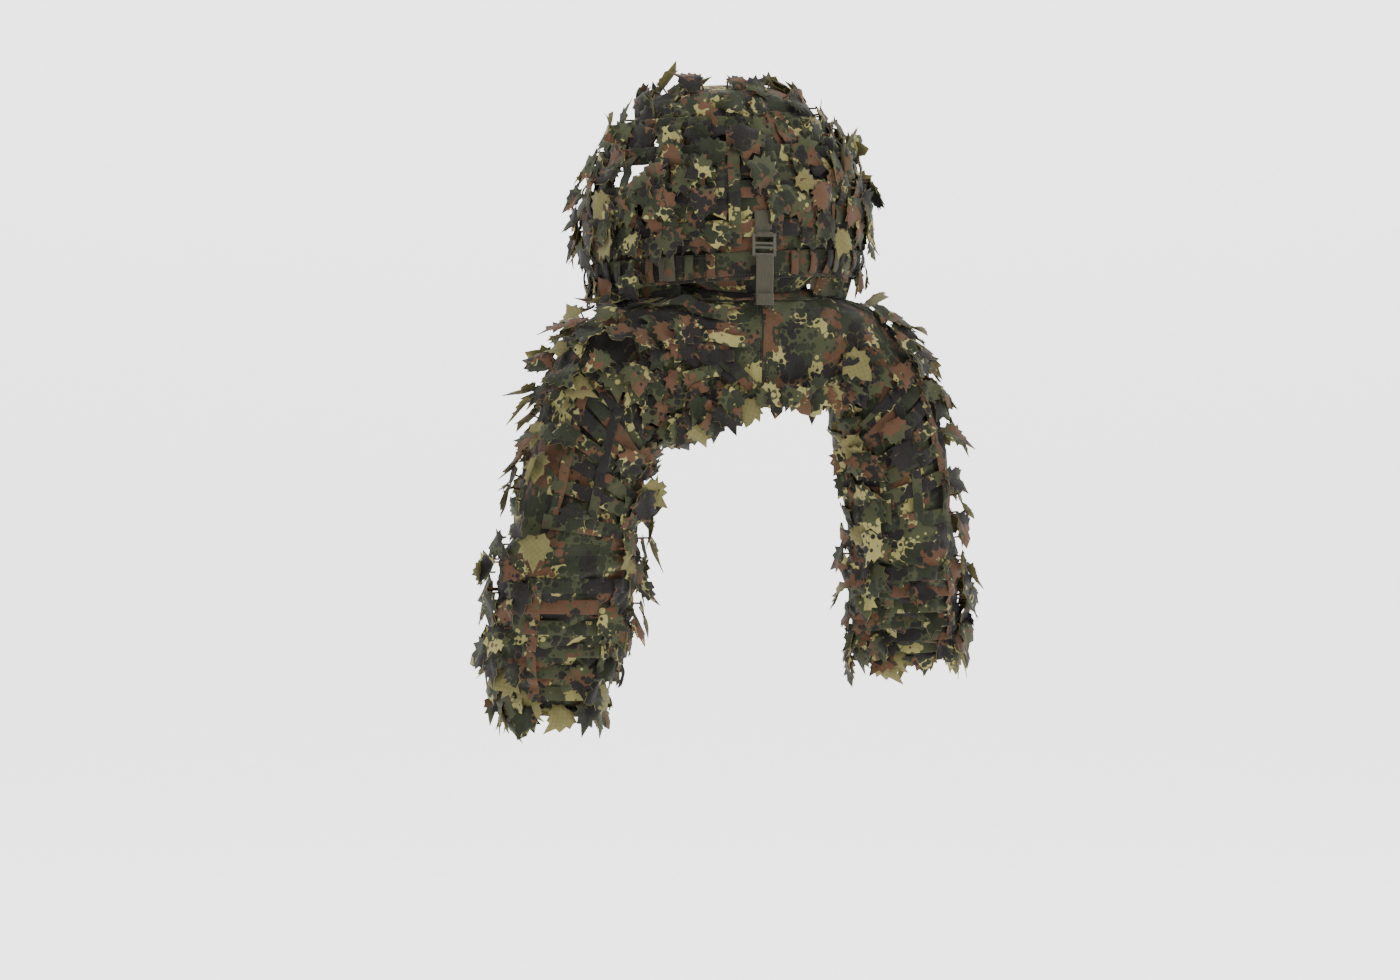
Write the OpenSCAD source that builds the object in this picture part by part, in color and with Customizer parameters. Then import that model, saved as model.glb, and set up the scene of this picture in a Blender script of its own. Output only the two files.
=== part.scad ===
// Ghillie hood, shoulder yoke and sleeves.
// A leaf-covered camouflage garment: a deep hood that folds back behind the neck,
// a short yoke over the shoulders and two long sleeves that bend at the elbow.
// The face opening looks along -Y, the wearer's left is +X and up is +Z.
// The origin is the base of the wearer's neck.

/* [Hood] */

// Half width of the hood at its widest
hood_half_w = 195; // [180:1:205]
// Depth of the hood behind its middle
hood_rear_r = 145; // [135:1:160]
// Depth of the hood in front of its middle, at the hem
hood_front_r = 240; // [200:5:260]
// Height of the hood from hem to crown
hood_h = 286; // [270:2:300]
// Height of the hood's hem over the base of the neck
hood_hem_z = 26; // [22:1:34]
// Drop of the hem from the right side to the left, in mm for each mm
hood_tilt = 0.07; // [0:0.01:0.08]
// Angle from the rear centre to the edge of the face opening
face_edge_a = 125; // [115:1:135]

/* [Yoke] */

// Depth of the yoke behind the shoulder line
yoke_rear_r = 118; // [110:1:126]
// Depth of the yoke in front of the shoulder line
yoke_front_r = 112; // [104:1:120]
// Height of the rounded part of the yoke
yoke_round_h = 70; // [60:1:80]
// Drop of the rear hem at the centre seam
yoke_hem_drop = 146; // [120:2:160]
// Gap between the two front panels
front_gap = 64; // [50:2:90]

/* [Collar] */

// Half width of the neck opening
collar_rx = 100; // [92:1:104]
// Half depth of the neck opening
collar_ry = 82; // [74:1:84]
// Height of the top of the collar
collar_top = 48; // [30:1:55]

/* [Fabric] */

// Thickness of the sewn fabric with its folds
cloth_t = 3.5; // [2.5:0.5:4]
// Width of a ladder tape
tape_w = 22; // [16:1:26]
// Thickness of a ladder tape
tape_t = 1.6; // [1.2:0.2:2]
// Scale of the cut leaves
leaf_scale = 1; // [0.8:0.05:1.1]

/* [Webbing and hardware] */

// Width of the webbing
web_w = 25; // [20:1:25]
// Thickness of the webbing
web_t = 1.6; // [1.2:0.2:1.8]
// Length of the free tail of the rear strap
tail_len = 70; // [50:1:70]
// Radius of the ladder lock's pivot bar
bar_r = 2; // [1.8:0.1:2.2]
// Clearance of the loop round the pivot bar
bar_gap = 0.4; // [0.3:0.1:0.5]
// Height of the chest strap over the base of the neck
chest_z = -120; // [-130:1:-110]

/* [Hidden] */

camo = [0.33, 0.36, 0.24];
camo_dark = [0.22, 0.25, 0.17];
tape_green = [0.27, 0.31, 0.20];
leaf_green = [0.42, 0.44, 0.27];
olive = [0.36, 0.34, 0.24];
plastic = [0.20, 0.21, 0.16];

// Middle of the hood's plan
hood_x0 = 8;
hood_y0 = -40;
// Shares of the hood's height where the widest ring and the crown seam lie
widest_t = 0.4;
crown_t = 0.8;
// Front-to-back line of the shoulder seam
seam_y = -8;
// Fall of the shoulder line and of the back's depth towards the arms
shoulder_fall = 0.0011;
depth_fall = 0.00097;
// Height of the shoulder line over the neck's middle
shoulder_top = 28;
// Gap that keeps sewn pieces of one body apart
sew_gap = 1.8;
// Gap between the yoke and the sleeves
arm_gap = 4;

// Each station of a sleeve: outer x, outer z, inner x, inner z, middle y, half depth.
left_upper = [
  [182, -8, 146, -205, -4, 84], [232, -36, 143, -232, 0, 86],
  [266, -86, 146, -255, 4, 86], [290, -156, 152, -280, 10, 84],
  [310, -235, 156, -305, 16, 82], [345, -345, 158, -345, 24, 78]
];
left_forearm = [
  [347, -353, 158, -353, 24, 78], [352, -400, 160, -402, 13, 76],
  [350, -450, 165, -455, -6, 73], [344, -505, 178, -510, -28, 70],
  [322, -555, 196, -560, -48, 64], [312, -576, 206, -580, -56, 60]
];
right_upper = [
  [184, -6, 142, -150, -4, 82], [228, -38, 142, -180, -2, 84],
  [258, -82, 146, -210, 2, 84], [280, -146, 151, -245, 6, 82],
  [300, -225, 156, -285, 10, 80], [310, -338, 157, -338, 12, 76]
];
right_forearm = [
  [311, -346, 157, -346, 12, 76], [317, -385, 162, -388, 2, 74],
  [328, -425, 172, -430, -22, 72], [338, -462, 188, -468, -50, 70],
  [340, -492, 200, -498, -76, 68], [338, -506, 204, -512, -86, 66]
];

function lerp(a, b, t) = a + (b - a) * t;

// A closed solid between an outer and an inner grid of points.
module skin(outer, inner) {
  rows = len(outer);
  cols = len(outer[0]);
  n = rows * cols;
  pts = concat([for (r = outer) for (p = r) p], [for (r = inner) for (p = r) p]);
  top = [for (i = [0 : rows - 2]) for (j = [0 : cols - 2]) let (k = i * cols + j)
    each [[k, k + 1, k + cols + 1], [k, k + cols + 1, k + cols]]];
  bottom = [for (f = top) [f[2] + n, f[1] + n, f[0] + n]];
  first = [for (j = [0 : cols - 2]) each [[j, j + n, j + 1 + n], [j, j + 1 + n, j + 1]]];
  m = (rows - 1) * cols;
  last = [for (j = [m : m + cols - 2]) each [[j, j + 1 + n, j + n], [j, j + 1, j + 1 + n]]];
  left = [for (i = [0 : rows - 2]) let (k = i * cols)
    each [[k, k + cols + n, k + n], [k, k + cols, k + cols + n]]];
  right = [for (i = [0 : rows - 2]) let (k = i * cols + cols - 1)
    each [[k, k + n, k + cols + n], [k, k + cols + n, k + cols]]];
  polyhedron(points = pts, faces = concat(top, bottom, first, last, left, right));
}

// The hood's plan shrinks from its widest ring to the crown seam and on to the top.
function hood_s(t) =
  t < widest_t ? 0.95 + 0.05 * sin(90 * t / widest_t)
  : pow(1 - pow((t - widest_t) / (1 - widest_t), 1.6), 0.6);

function hood_ring(phi, s, t, off) =
  let (depth = cos(phi) > 0 ? hood_rear_r : hood_front_r - 90 * t)
  let (x = hood_x0 + (hood_half_w * s + off) * sin(phi))
  [x, hood_y0 + (depth * s + off) * cos(phi),
    hood_hem_z + hood_h * t - hood_tilt * x * (1 - t)];

function hood_pt(phi, t, off) = hood_ring(phi, hood_s(t), t, off);

// The crown is a dome: its angle runs from the crown seam up to the top.
function crown_pt(phi, rise, off) =
  hood_ring(phi, hood_s(crown_t) * cos(rise), crown_t + (1 - crown_t) * sin(rise), off)
  + [0, 0, off * sin(rise)];

module hood_patch(phi0, phi1, t0, t1, off0, off1, nphi, nt) {
  skin(
    [for (i = [0 : nt]) [for (j = [0 : nphi])
      hood_pt(lerp(phi0, phi1, j / nphi), lerp(t0, t1, i / nt), off1)]],
    [for (i = [0 : nt]) [for (j = [0 : nphi])
      hood_pt(lerp(phi0, phi1, j / nphi), lerp(t0, t1, i / nt), off0)]]);
}

module crown_patch(phi0, phi1, r0, r1, off0, off1, nphi, nr) {
  skin(
    [for (i = [0 : nr]) [for (j = [0 : nphi])
      crown_pt(lerp(phi0, phi1, j / nphi), lerp(r0, r1, i / nr), off1)]],
    [for (i = [0 : nr]) [for (j = [0 : nphi])
      crown_pt(lerp(phi0, phi1, j / nphi), lerp(r0, r1, i / nr), off0)]]);
}

// The yoke: a rounded shoulder that turns into a straight back or chest.
function yoke_top(x) = shoulder_top - shoulder_fall * x * x;
function yoke_r(x, side) = (side > 0 ? yoke_rear_r : yoke_front_r) - depth_fall * x * x;
function neck_y(x) = abs(x) < collar_rx ? collar_ry * sqrt(1 - pow(x / collar_rx, 2)) : 0;
function start_w(x, side) = asin((neck_y(x) + 2) / yoke_r(x, side));
function rear_hem(x) = -yoke_hem_drop - (x > 0 ? 0.45 * x : 0.12 * x);
function front_hem(x) = -142 - (x > 0 ? 0.3 * x : -0.06 * x);
function hem_at(x, side) = side > 0 ? rear_hem(x) : front_hem(x);
function yoke_drop(x, side) = yoke_top(x) - yoke_round_h - hem_at(x, side);

// q runs from the neck or shoulder seam at 0, over the round at 1, to the hem at 2.
function yoke_pt(x, q, off, side) =
  let (w = q < 1 ? lerp(start_w(x, side), 90, q) : 90)
  let (down = q < 1 ? 0 : (q - 1) * yoke_drop(x, side))
  [x, seam_y + side * (yoke_r(x, side) + off) * sin(w),
    yoke_top(x) - (yoke_round_h + off) * (1 - cos(w)) + off - down];

// The armhole's plane leans in from the shoulder to the underarm.
function arm_edge(q, hand, side) =
  let (z = yoke_pt(165 * hand, q, 0, side)[2])
  (hand > 0 ? 182 + 0.183 * (z + 8) : 184 + 0.292 * (z + 6)) - arm_gap;

module yoke_patch(hand, side, x0, q0, q1, off0, off1, nx, nq) {
  function at(i, j, off) =
    let (q = lerp(q0, q1, i / nq))
    yoke_pt(hand * lerp(x0, arm_edge(q, hand, side), j / nx), q, off, side);
  outer = [for (i = [0 : nq]) [for (j = [0 : nx]) at(i, j, off1)]];
  inner = [for (i = [0 : nq]) [for (j = [0 : nx]) at(i, j, off0)]];
  if (hand * side > 0) skin(outer, inner);
  else skin(inner, outer);
}

// A panel of the yoke is three sewn pieces, so that it stays open underneath.
module yoke_panel(hand, side, x0) {
  yoke_patch(hand, side, x0, 0, 0.5, -cloth_t, 0, 6, 2);
  yoke_patch(hand, side, x0, 0.505, 0.99, -cloth_t, 0, 6, 2);
  yoke_patch(hand, side, x0, 1, 2, -cloth_t, 0, 6, 3);
}

// A strip laid on the yoke from one point of its surface to another.
module yoke_strip(xa, qa, xb, qb, w, off, side, n) {
  dx = xb - xa;
  dq = (qb - qa) * 110;
  l = norm([dx, dq]);
  nx = -dq / l * w / 2;
  nq = dx / l * w / 2 / 110;
  function at(i, k, o) = let (t = i / n)
    yoke_pt(lerp(xa, xb, t) + k * nx, lerp(qa, qb, t) + k * nq, o, side);
  skin(
    [for (i = [0 : n]) [for (k = [1, -1]) at(i, k, off + tape_t)]],
    [for (i = [0 : n]) [for (k = [1, -1]) at(i, k, off)]]);
}

// A point on a sleeve: v runs along its stations, a turns from outside to rear.
function sleeve_pt(st, v, a, off, hand) =
  let (i = min(floor(v), len(st) - 2))
  let (s = lerp(st[i], st[i + 1], v - i))
  let (o = [s[0], s[1]], n = [s[2], s[3]])
  let (mid = (o + n) / 2, half = (o - n) / 2)
  let (u = half * (1 + off / norm(half)))
  [hand * (mid[0] + u[0] * cos(a)), s[4] + (s[5] + off) * sin(a), mid[1] + u[1] * cos(a)];

module sleeve_patch(st, hand, v0, v1, a0, a1, off0, off1, nv, na) {
  function at(i, j, off) =
    sleeve_pt(st, lerp(v0, v1, i / nv), lerp(a0, a1, j / na), off, hand);
  outer = [for (i = [0 : nv]) [for (j = [0 : na]) at(i, j, off1)]];
  inner = [for (i = [0 : nv]) [for (j = [0 : na]) at(i, j, off0)]];
  if (hand > 0) skin(inner, outer);
  else skin(outer, inner);
}

// A sleeve is six lengthwise gores, each in short lengths.
module sleeve(st, hand, v0, v1, nv, lengths = 1) {
  step = (v1 - v0) / lengths;
  for (i = [0 : lengths - 1]) for (k = [0 : 5])
    sleeve_patch(st, hand, v0 + i * step, v0 + (i + 1) * step - (i < lengths - 1 ? 0.01 : 0),
      60 * k - 29.8, 60 * k + 29.8, -cloth_t, 0, nv, 4);
}

// Cross tapes, then two lengthwise tapes over them, on the rear of a sleeve.
module sleeve_tapes(st, hand, vs) {
  dv = tape_w / 2 / 60;
  for (v = vs)
    sleeve_patch(st, hand, v - dv, v + dv, 45, 135, sew_gap, sew_gap + tape_t, 1, 8);
  for (a = [58, 122])
    sleeve_patch(st, hand, vs[0] - 0.3, vs[len(vs) - 1] + 0.3, a - 6, a + 6,
      2 * sew_gap + tape_t, 2 * sew_gap + 2 * tape_t, 9, 1);
}

// One cut leaf lies in the XY plane with its stalk at the origin and its tip along +Y.
leaf_half = [
  [3, 0], [5, 7], [20, 3], [16, 12], [26, 20], [18, 23], [22, 33], [12, 30], [9, 38], [5, 36]
];

module leaf_2d() {
  polygon(concat(leaf_half, [[0, 52]],
    [for (i = [len(leaf_half) - 1 : -1 : 0]) [-leaf_half[i][0], leaf_half[i][1]]]));
}

// A leaf hangs from a point, turned to face psi and tilted out by tau.
module leaf(p, psi, tau, roll, s) {
  translate(p) rotate([0, 0, psi]) rotate([tau - 90, 0, 0]) rotate([0, 0, roll])
    linear_extrude(height = 1) scale(s * leaf_scale) leaf_2d();
}

module hood_leaf_rows(phi0, phi1, count, ts) {
  for (r = [0 : len(ts) - 1]) for (k = [0 : count - 1]) {
    phi = lerp(phi0, phi1, (k + 0.5 + 0.2 * (r % 2)) / count);
    if (abs(phi) > 16 || ts[r] > 0.7)
      leaf(hood_pt(phi, ts[r], 21), -phi, 26 + 12 * ((k + r) % 3), 15 * ((k + 2 * r) % 3 - 1), 0.9);
  }
}

module sleeve_leaf_rows(st, hand, vs, angles) {
  for (r = [0 : len(vs) - 1]) for (k = [0 : len(angles) - 1]) {
    a = angles[k] + 8 * (r % 2);
    leaf(sleeve_pt(st, vs[r], a, 9, hand), hand * (a - 90), 24 + 9 * ((k + r) % 3),
      16 * ((k + 2 * r) % 3 - 1), 0.92);
  }
}

// Yoke

module yoke_back_left() { color(camo) yoke_panel(1, 1, 0.5); }

module yoke_back_right() { color(camo) yoke_panel(-1, 1, 0.5); }

module yoke_front_left() { color(camo) yoke_panel(1, -1, front_gap / 2); }

module yoke_front_right() { color(camo) yoke_panel(-1, -1, front_gap / 2); }

function collar_pt(a, z, off) =
  let (lean = 0.12 * (z - 2))
  [(collar_rx - 3 - lean + off) * sin(a), seam_y + (collar_ry - 3 - lean + off) * cos(a), z];

module collar_quarter(a0) {
  outer = [for (z = [2, collar_top]) [for (j = [0 : 5]) collar_pt(a0 + 17.84 * j, z, 0)]];
  inner = [for (z = [2, collar_top]) [for (j = [0 : 5]) collar_pt(a0 + 17.84 * j, z, -cloth_t)]];
  skin(outer, inner);
}

module neck_collar() {
  color(camo_dark) for (k = [0 : 3]) collar_quarter(90 * k - 44.6);
}

module yoke_hem_binding() {
  color(tape_green) {
    yoke_strip(4, 1.9, 126, 1.93, 14, sew_gap, 1, 6);
    yoke_strip(-124, 1.88, -4, 1.88, 14, sew_gap, 1, 6);
  }
}

// Diagonal rungs and rails on the left of the back.
module yoke_ladder_tapes() {
  color(tape_green) {
    for (k = [0 : 3])
      yoke_strip(20 + 30 * k, 1.6 - 0.04 * k, 56 + 30 * k, 1.2 - 0.04 * k, 12, sew_gap, 1, 3);
    yoke_strip(34, 1.02, 112, 0.78, 12, sew_gap, 1, 3);
  }
}

module yoke_back_leaves() {
  color(leaf_green) {
    for (k = [0 : 3]) let (x = 22 + 34 * k)
      leaf(yoke_pt(x, 1.9, 9, 1), 0, 6, 14 * (k % 2) - 7, 0.75);
    for (k = [0 : 4]) let (x = -14 - 26 * k)
      leaf(yoke_pt(x, 1.86, 9, 1), 0, 6, 12 * (k % 3) - 12, 0.62);
  }
}

// Chest strap: two webbings, a slider and a side-release buckle.
strap_y = seam_y - yoke_front_r - 8;
socket_x = 3;
socket_len = 30;
socket_h = 30;
socket_d = 10;
socket_wall = 1.6;
plug_len = 12;
prong_len = 22;
prong_w = 4;

module web(x0, x1) {
  translate([x0, strap_y - web_t, chest_z - web_w / 2]) cube([x1 - x0, web_t, web_w]);
}

// The sewn foot of a strap, turned in to the cloth.
module web_foot(x) {
  translate([x, strap_y - web_t, chest_z - web_w / 2]) cube([web_t, 13.5, web_w]);
}

module chest_strap_left() {
  color(olive) {
    web(socket_x + socket_len - 2, 94);
    web_foot(94);
  }
}

module chest_strap_right() {
  color(olive) {
    web(-94, socket_x - plug_len - 5);
    web_foot(-94 - web_t);
  }
}

module buckle_socket() {
  color(plastic) translate([socket_x, strap_y - web_t / 2 - socket_d / 2, chest_z - socket_h / 2])
    difference() {
      cube([socket_len, socket_d, socket_h]);
      translate([-1, socket_wall, socket_wall])
        cube([socket_len - 5, socket_d - 2 * socket_wall, socket_h - 2 * socket_wall]);
      for (z = [-1, socket_h - socket_wall - 1])
        translate([12, socket_wall, z]) cube([12, socket_d - 2 * socket_wall, socket_wall + 2]);
      translate([socket_len - 3.5, socket_d / 2 - web_t / 2 - 0.4, socket_h / 2 - web_w / 2 - 0.5])
        cube([4, web_t + 0.8, web_w + 1]);
    }
}

module buckle_plug() {
  color(plastic) translate([socket_x - plug_len - 0.5, strap_y - web_t / 2, chest_z]) {
    difference() {
      translate([0, -3, -14]) cube([plug_len, 6, 28]);
      translate([-1, -web_t / 2 - 0.4, -web_w / 2 - 0.5]) cube([5, web_t + 0.8, web_w + 1]);
      for (s = [-1, 1]) translate([plug_len - 4, -4, s * 10 - 3]) cube([6, 8, 6]);
    }
    translate([plug_len, -1.2, -2]) cube([18, 2.4, 4]);
  }
}

// A sprung prong with its thumb pad, on a round root.
module prong(s) {
  translate([socket_x - 2.3, strap_y - web_t / 2, chest_z + s * 10]) {
    rotate([90, 0, 0]) cylinder(h = 5, r = 1.8, center = true, $fn = 32);
    translate([0, -1.5, -1.2]) cube([prong_len, 3, 2.4]);
    translate([15.3, -1.5, s > 0 ? 1.2 : -5.6]) cube([7, 3, 4.4]);
  }
}

module buckle_prong_upper() { color(plastic) prong(1); }

module buckle_prong_lower() { color(plastic) prong(-1); }

// The slider rides on the left webbing.
module chest_strap_slider() {
  color(plastic) translate([46, strap_y - web_t / 2, chest_z])
    difference() {
      translate([0, -2.4, -web_w / 2 - 3]) cube([14, 4.8, web_w + 6]);
      translate([-1, -web_t / 2 - 0.3, -web_w / 2 - 0.5]) cube([16, web_t + 0.6, web_w + 1]);
    }
}

// Hood

module hood_rear_panel() {
  color(camo) {
    hood_patch(-37.5, -0.2, 0, crown_t - 0.004, -cloth_t, 0, 6, 8);
    hood_patch(0.2, 37.5, 0, crown_t - 0.004, -cloth_t, 0, 6, 8);
  }
}

module hood_side(s) {
  for (p = [[38, 80], [80.4, face_edge_a]])
    hood_patch(s > 0 ? p[0] : -p[1], s > 0 ? p[1] : -p[0], 0, crown_t - 0.004, -cloth_t, 0, 7, 8);
}

module hood_left_panel() { color(camo) hood_side(1); }

module hood_right_panel() { color(camo) hood_side(-1); }

module hood_crown() {
  color(camo) for (k = [0 : 3])
    crown_patch(90 * k + 0.3, 90 * k + 89.7, 0, 87, -cloth_t, 0, 5, 4);
}

// The turned edge round the face opening.
module hood_face_hem() {
  color(camo_dark) {
    hood_patch(face_edge_a - 8, face_edge_a, 0.15, crown_t - 0.01, sew_gap, sew_gap + 2, 1, 8);
    hood_patch(-face_edge_a, -face_edge_a + 8, 0.15, crown_t - 0.01, sew_gap, sew_gap + 2, 1, 8);
    crown_patch(face_edge_a, 360 - face_edge_a, 0, 12, sew_gap, sew_gap + 2, 8, 1);
  }
}

module hood_neck_band() {
  color(camo_dark) {
    hood_patch(-face_edge_a, -45, 0, 0.13, sew_gap, sew_gap + 2.4, 12, 2);
    hood_patch(-44.8, 44.8, 0, 0.13, sew_gap, sew_gap + 2.4, 12, 2);
    hood_patch(45, face_edge_a, 0, 0.13, sew_gap, sew_gap + 2.4, 12, 2);
  }
}

module hood_cross_tapes() {
  color(tape_green) for (t = [0.22, 0.4, 0.58]) for (k = [0 : 2])
    hood_patch(-110 + 73.5 * k, -110 + 73.5 * k + 73, t, t + tape_w / hood_h,
      sew_gap, sew_gap + tape_t, 12, 1);
}

module hood_upright_tapes() {
  color(tape_green) for (phi = [-94, -62, -34, 22, 50, 78, 100])
    hood_patch(phi, phi + 6, 0.16, 0.76, 2 * sew_gap + tape_t, 2 * sew_gap + 2 * tape_t, 1, 10);
}

module hood_tab(phi) {
  hood_patch(phi, phi + 8, 0.012, 0.115, 5.5, 5.5 + web_t, 1, 1);
}

module hood_left_tab() { color(olive) hood_tab(34); }

module hood_right_tab() { color(olive) hood_tab(-46); }

// Rear adjuster: a ladder lock on a webbing loop, and the tail that hangs from it.
lock_y = hood_y0 + hood_rear_r + 9;
lock_z = 82;
lock_w = 34;
lock_h = 28;
lock_d = 4;

module adjuster_anchor_tab() {
  color(olive) translate([0, lock_y, lock_z]) rotate([90, 0, 90])
    translate([0, 0, -web_w / 2]) {
      difference() {
        cylinder(h = web_w, r = bar_r + bar_gap + web_t, $fn = 48);
        translate([0, 0, -1]) cylinder(h = web_w + 2, r = bar_r + bar_gap, $fn = 48);
        translate([-10, -20, -1]) cube([20, 20 - 0.6, web_w + 2]);
      }
      translate([-bar_r - bar_gap - web_t, 1.2, 0]) cube([web_t, 34, web_w]);
    }
}

module rear_ladder_lock() {
  color(plastic) translate([0, lock_y, lock_z]) {
    rotate([0, 90, 0]) cylinder(h = lock_w - 4, r = bar_r, center = true, $fn = 48);
    for (s = [-1, 1]) translate([s * (lock_w / 2 - 2) - 2, -lock_d / 2, -lock_h])
      cube([4, lock_d, lock_h + 3]);
    for (z = [-12, -18]) translate([-lock_w / 2 + 3, -lock_d / 2, z])
      cube([lock_w - 6, lock_d, 3]);
    translate([0, 0, -lock_h + bar_r]) rotate([0, 90, 0])
      cylinder(h = lock_w - 4, r = bar_r, center = true, $fn = 48);
  }
}

// The tail loops the lock's lower bar and ends in a folded, stitched end.
module rear_strap_tail() {
  color(olive) translate([0, lock_y, lock_z - lock_h + bar_r]) rotate([90, 0, 90])
    translate([0, 0, -web_w / 2]) {
      difference() {
        cylinder(h = web_w, r = bar_r + bar_gap + web_t, $fn = 48);
        translate([0, 0, -1]) cylinder(h = web_w + 2, r = bar_r + bar_gap, $fn = 48);
        translate([-10, 0.6, -1]) cube([20, 20, web_w + 2]);
      }
      translate([bar_r + bar_gap, -tail_len, 0]) cube([web_t, tail_len - 1.2, web_w]);
      translate([bar_r + bar_gap + web_t, -tail_len, 0]) cube([web_t, 14, web_w]);
    }
}

module hood_rear_leaves() { color(leaf_green) hood_leaf_rows(-40, 40, 3, [0.34, 0.58, 0.82]); }

module hood_left_leaves() { color(leaf_green) hood_leaf_rows(44, 120, 4, [0.26, 0.5, 0.76]); }

module hood_right_leaves() { color(leaf_green) hood_leaf_rows(-120, -44, 4, [0.26, 0.5, 0.76]); }

// Leaves that stand up round the crown.
module hood_crown_leaves() {
  color(leaf_green) for (k = [0 : 6])
    leaf(crown_pt(51 * k + 12, 36 + 12 * (k % 2), 6), -51 * k - 12, 124 + 14 * (k % 3),
      12 * (k % 3) - 12, 0.78);
}

// Sleeves

module left_upper_sleeve() { color(camo) sleeve(left_upper, 1, 0, 5, 3, 3); }

module left_upper_tapes() { color(tape_green) sleeve_tapes(left_upper, 1, [2.4, 3.4, 4.4]); }

module left_upper_leaves() { color(leaf_green) sleeve_leaf_rows(left_upper, 1, [1.2, 2.4, 3.5], [-20, 24, 66, 108]); }

module left_forearm_sleeve() { color(camo) sleeve(left_forearm, 1, 0, 4.35, 4, 2); }

module left_forearm_tapes() { color(tape_green) sleeve_tapes(left_forearm, 1, [0.9, 2, 3.1]); }

module left_cuff_band() { color(camo_dark) sleeve(left_forearm, 1, 4.4, 5, 1); }

module left_forearm_leaves() { color(leaf_green) sleeve_leaf_rows(left_forearm, 1, [0.7, 2.2, 3.9],
  [-20, 24, 66, 108, 160]); }

module right_upper_sleeve() { color(camo) sleeve(right_upper, -1, 0, 5, 3, 3); }

module right_upper_tapes() { color(tape_green) sleeve_tapes(right_upper, -1, [2.4, 3.4, 4.4]); }

module right_upper_leaves() { color(leaf_green) sleeve_leaf_rows(right_upper, -1, [1.2, 2.4, 3.5], [-20, 24, 66, 108]); }

module right_forearm_sleeve() { color(camo) sleeve(right_forearm, -1, 0, 4.35, 4, 2); }

module right_forearm_tapes() { color(tape_green) sleeve_tapes(right_forearm, -1, [0.9, 2, 3.1]); }

module right_cuff_band() { color(camo_dark) sleeve(right_forearm, -1, 4.4, 5, 1); }

module right_forearm_leaves() { color(leaf_green) sleeve_leaf_rows(right_forearm, -1, [0.7, 2.2, 3.9],
  [-20, 24, 66, 108, 160]); }

yoke_back_left();
yoke_back_right();
yoke_front_left();
yoke_front_right();
neck_collar();
yoke_hem_binding();
yoke_ladder_tapes();
yoke_back_leaves();
chest_strap_left();
chest_strap_right();
chest_strap_slider();
buckle_socket();
buckle_plug();
buckle_prong_upper();
buckle_prong_lower();
hood_rear_panel();
hood_left_panel();
hood_right_panel();
hood_crown();
hood_face_hem();
hood_neck_band();
hood_cross_tapes();
hood_upright_tapes();
hood_left_tab();
hood_right_tab();
adjuster_anchor_tab();
rear_ladder_lock();
rear_strap_tail();
hood_rear_leaves();
hood_left_leaves();
hood_right_leaves();
hood_crown_leaves();
left_upper_sleeve();
left_upper_tapes();
left_upper_leaves();
left_forearm_sleeve();
left_forearm_tapes();
left_cuff_band();
left_forearm_leaves();
right_upper_sleeve();
right_upper_tapes();
right_upper_leaves();
right_forearm_sleeve();
right_forearm_tapes();
right_cuff_band();
right_forearm_leaves();
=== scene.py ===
import math
import random
from functools import partial

import bpy
import numpy as np
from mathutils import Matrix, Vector
from mathutils.geometry import delaunay_2d_cdt


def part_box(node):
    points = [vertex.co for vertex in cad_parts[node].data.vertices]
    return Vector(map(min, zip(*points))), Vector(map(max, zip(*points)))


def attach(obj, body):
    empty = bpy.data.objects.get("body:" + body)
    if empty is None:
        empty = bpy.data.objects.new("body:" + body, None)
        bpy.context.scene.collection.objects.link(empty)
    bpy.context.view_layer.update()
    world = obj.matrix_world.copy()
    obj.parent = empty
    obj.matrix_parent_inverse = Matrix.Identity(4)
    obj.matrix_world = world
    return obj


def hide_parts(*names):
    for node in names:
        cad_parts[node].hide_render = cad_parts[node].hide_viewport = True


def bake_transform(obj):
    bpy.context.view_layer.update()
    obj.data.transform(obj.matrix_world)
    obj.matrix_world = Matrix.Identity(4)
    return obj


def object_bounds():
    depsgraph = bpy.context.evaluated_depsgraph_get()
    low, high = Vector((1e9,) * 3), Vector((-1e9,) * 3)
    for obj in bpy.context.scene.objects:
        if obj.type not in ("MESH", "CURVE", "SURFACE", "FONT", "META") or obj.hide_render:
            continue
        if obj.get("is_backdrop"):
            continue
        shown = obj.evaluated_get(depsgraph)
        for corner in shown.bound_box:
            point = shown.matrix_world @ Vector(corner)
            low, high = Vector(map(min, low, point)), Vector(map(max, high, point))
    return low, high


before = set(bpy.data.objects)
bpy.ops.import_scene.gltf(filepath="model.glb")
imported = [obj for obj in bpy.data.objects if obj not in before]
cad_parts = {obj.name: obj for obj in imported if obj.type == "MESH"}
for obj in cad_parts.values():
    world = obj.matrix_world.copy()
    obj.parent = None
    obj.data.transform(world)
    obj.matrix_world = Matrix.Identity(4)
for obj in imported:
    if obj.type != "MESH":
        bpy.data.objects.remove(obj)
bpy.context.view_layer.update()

# -------- sizes, in metres
HALF_W = 0.195          # hood: half width at its widest
REAR_R = 0.145          # hood: depth behind its middle
FRONT_R = 0.240         # hood: depth in front of its middle, at the hem
HOOD_H = 0.286
HEM_Z = 0.026
TILT = 0.07
FACE_A = 125.0          # degrees from the rear centre to the face opening
HOOD_X0, HOOD_Y0 = 0.008, -0.040
WIDE_T, CROWN_T = 0.4, 0.8
YOKE_R = {1: 0.118, -1: 0.112}
ROUND_H = 0.070
SEAM_Y = -0.008
TOP_Z = 0.028
COLLAR = (0.100, 0.082, 0.048)
FRONT_GAP = 0.064
WEB_W, WEB_T = 0.025, 0.0016
TAPE_T = 0.0014
HOOD_T = 0.0012         # thickness of the hood's cloth, its flaps and the gusset
SHELL_T = 0.0014        # of the yoke, the sleeves and the neck band
BAND_T = 0.0016         # of the collar and the cuffs
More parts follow.
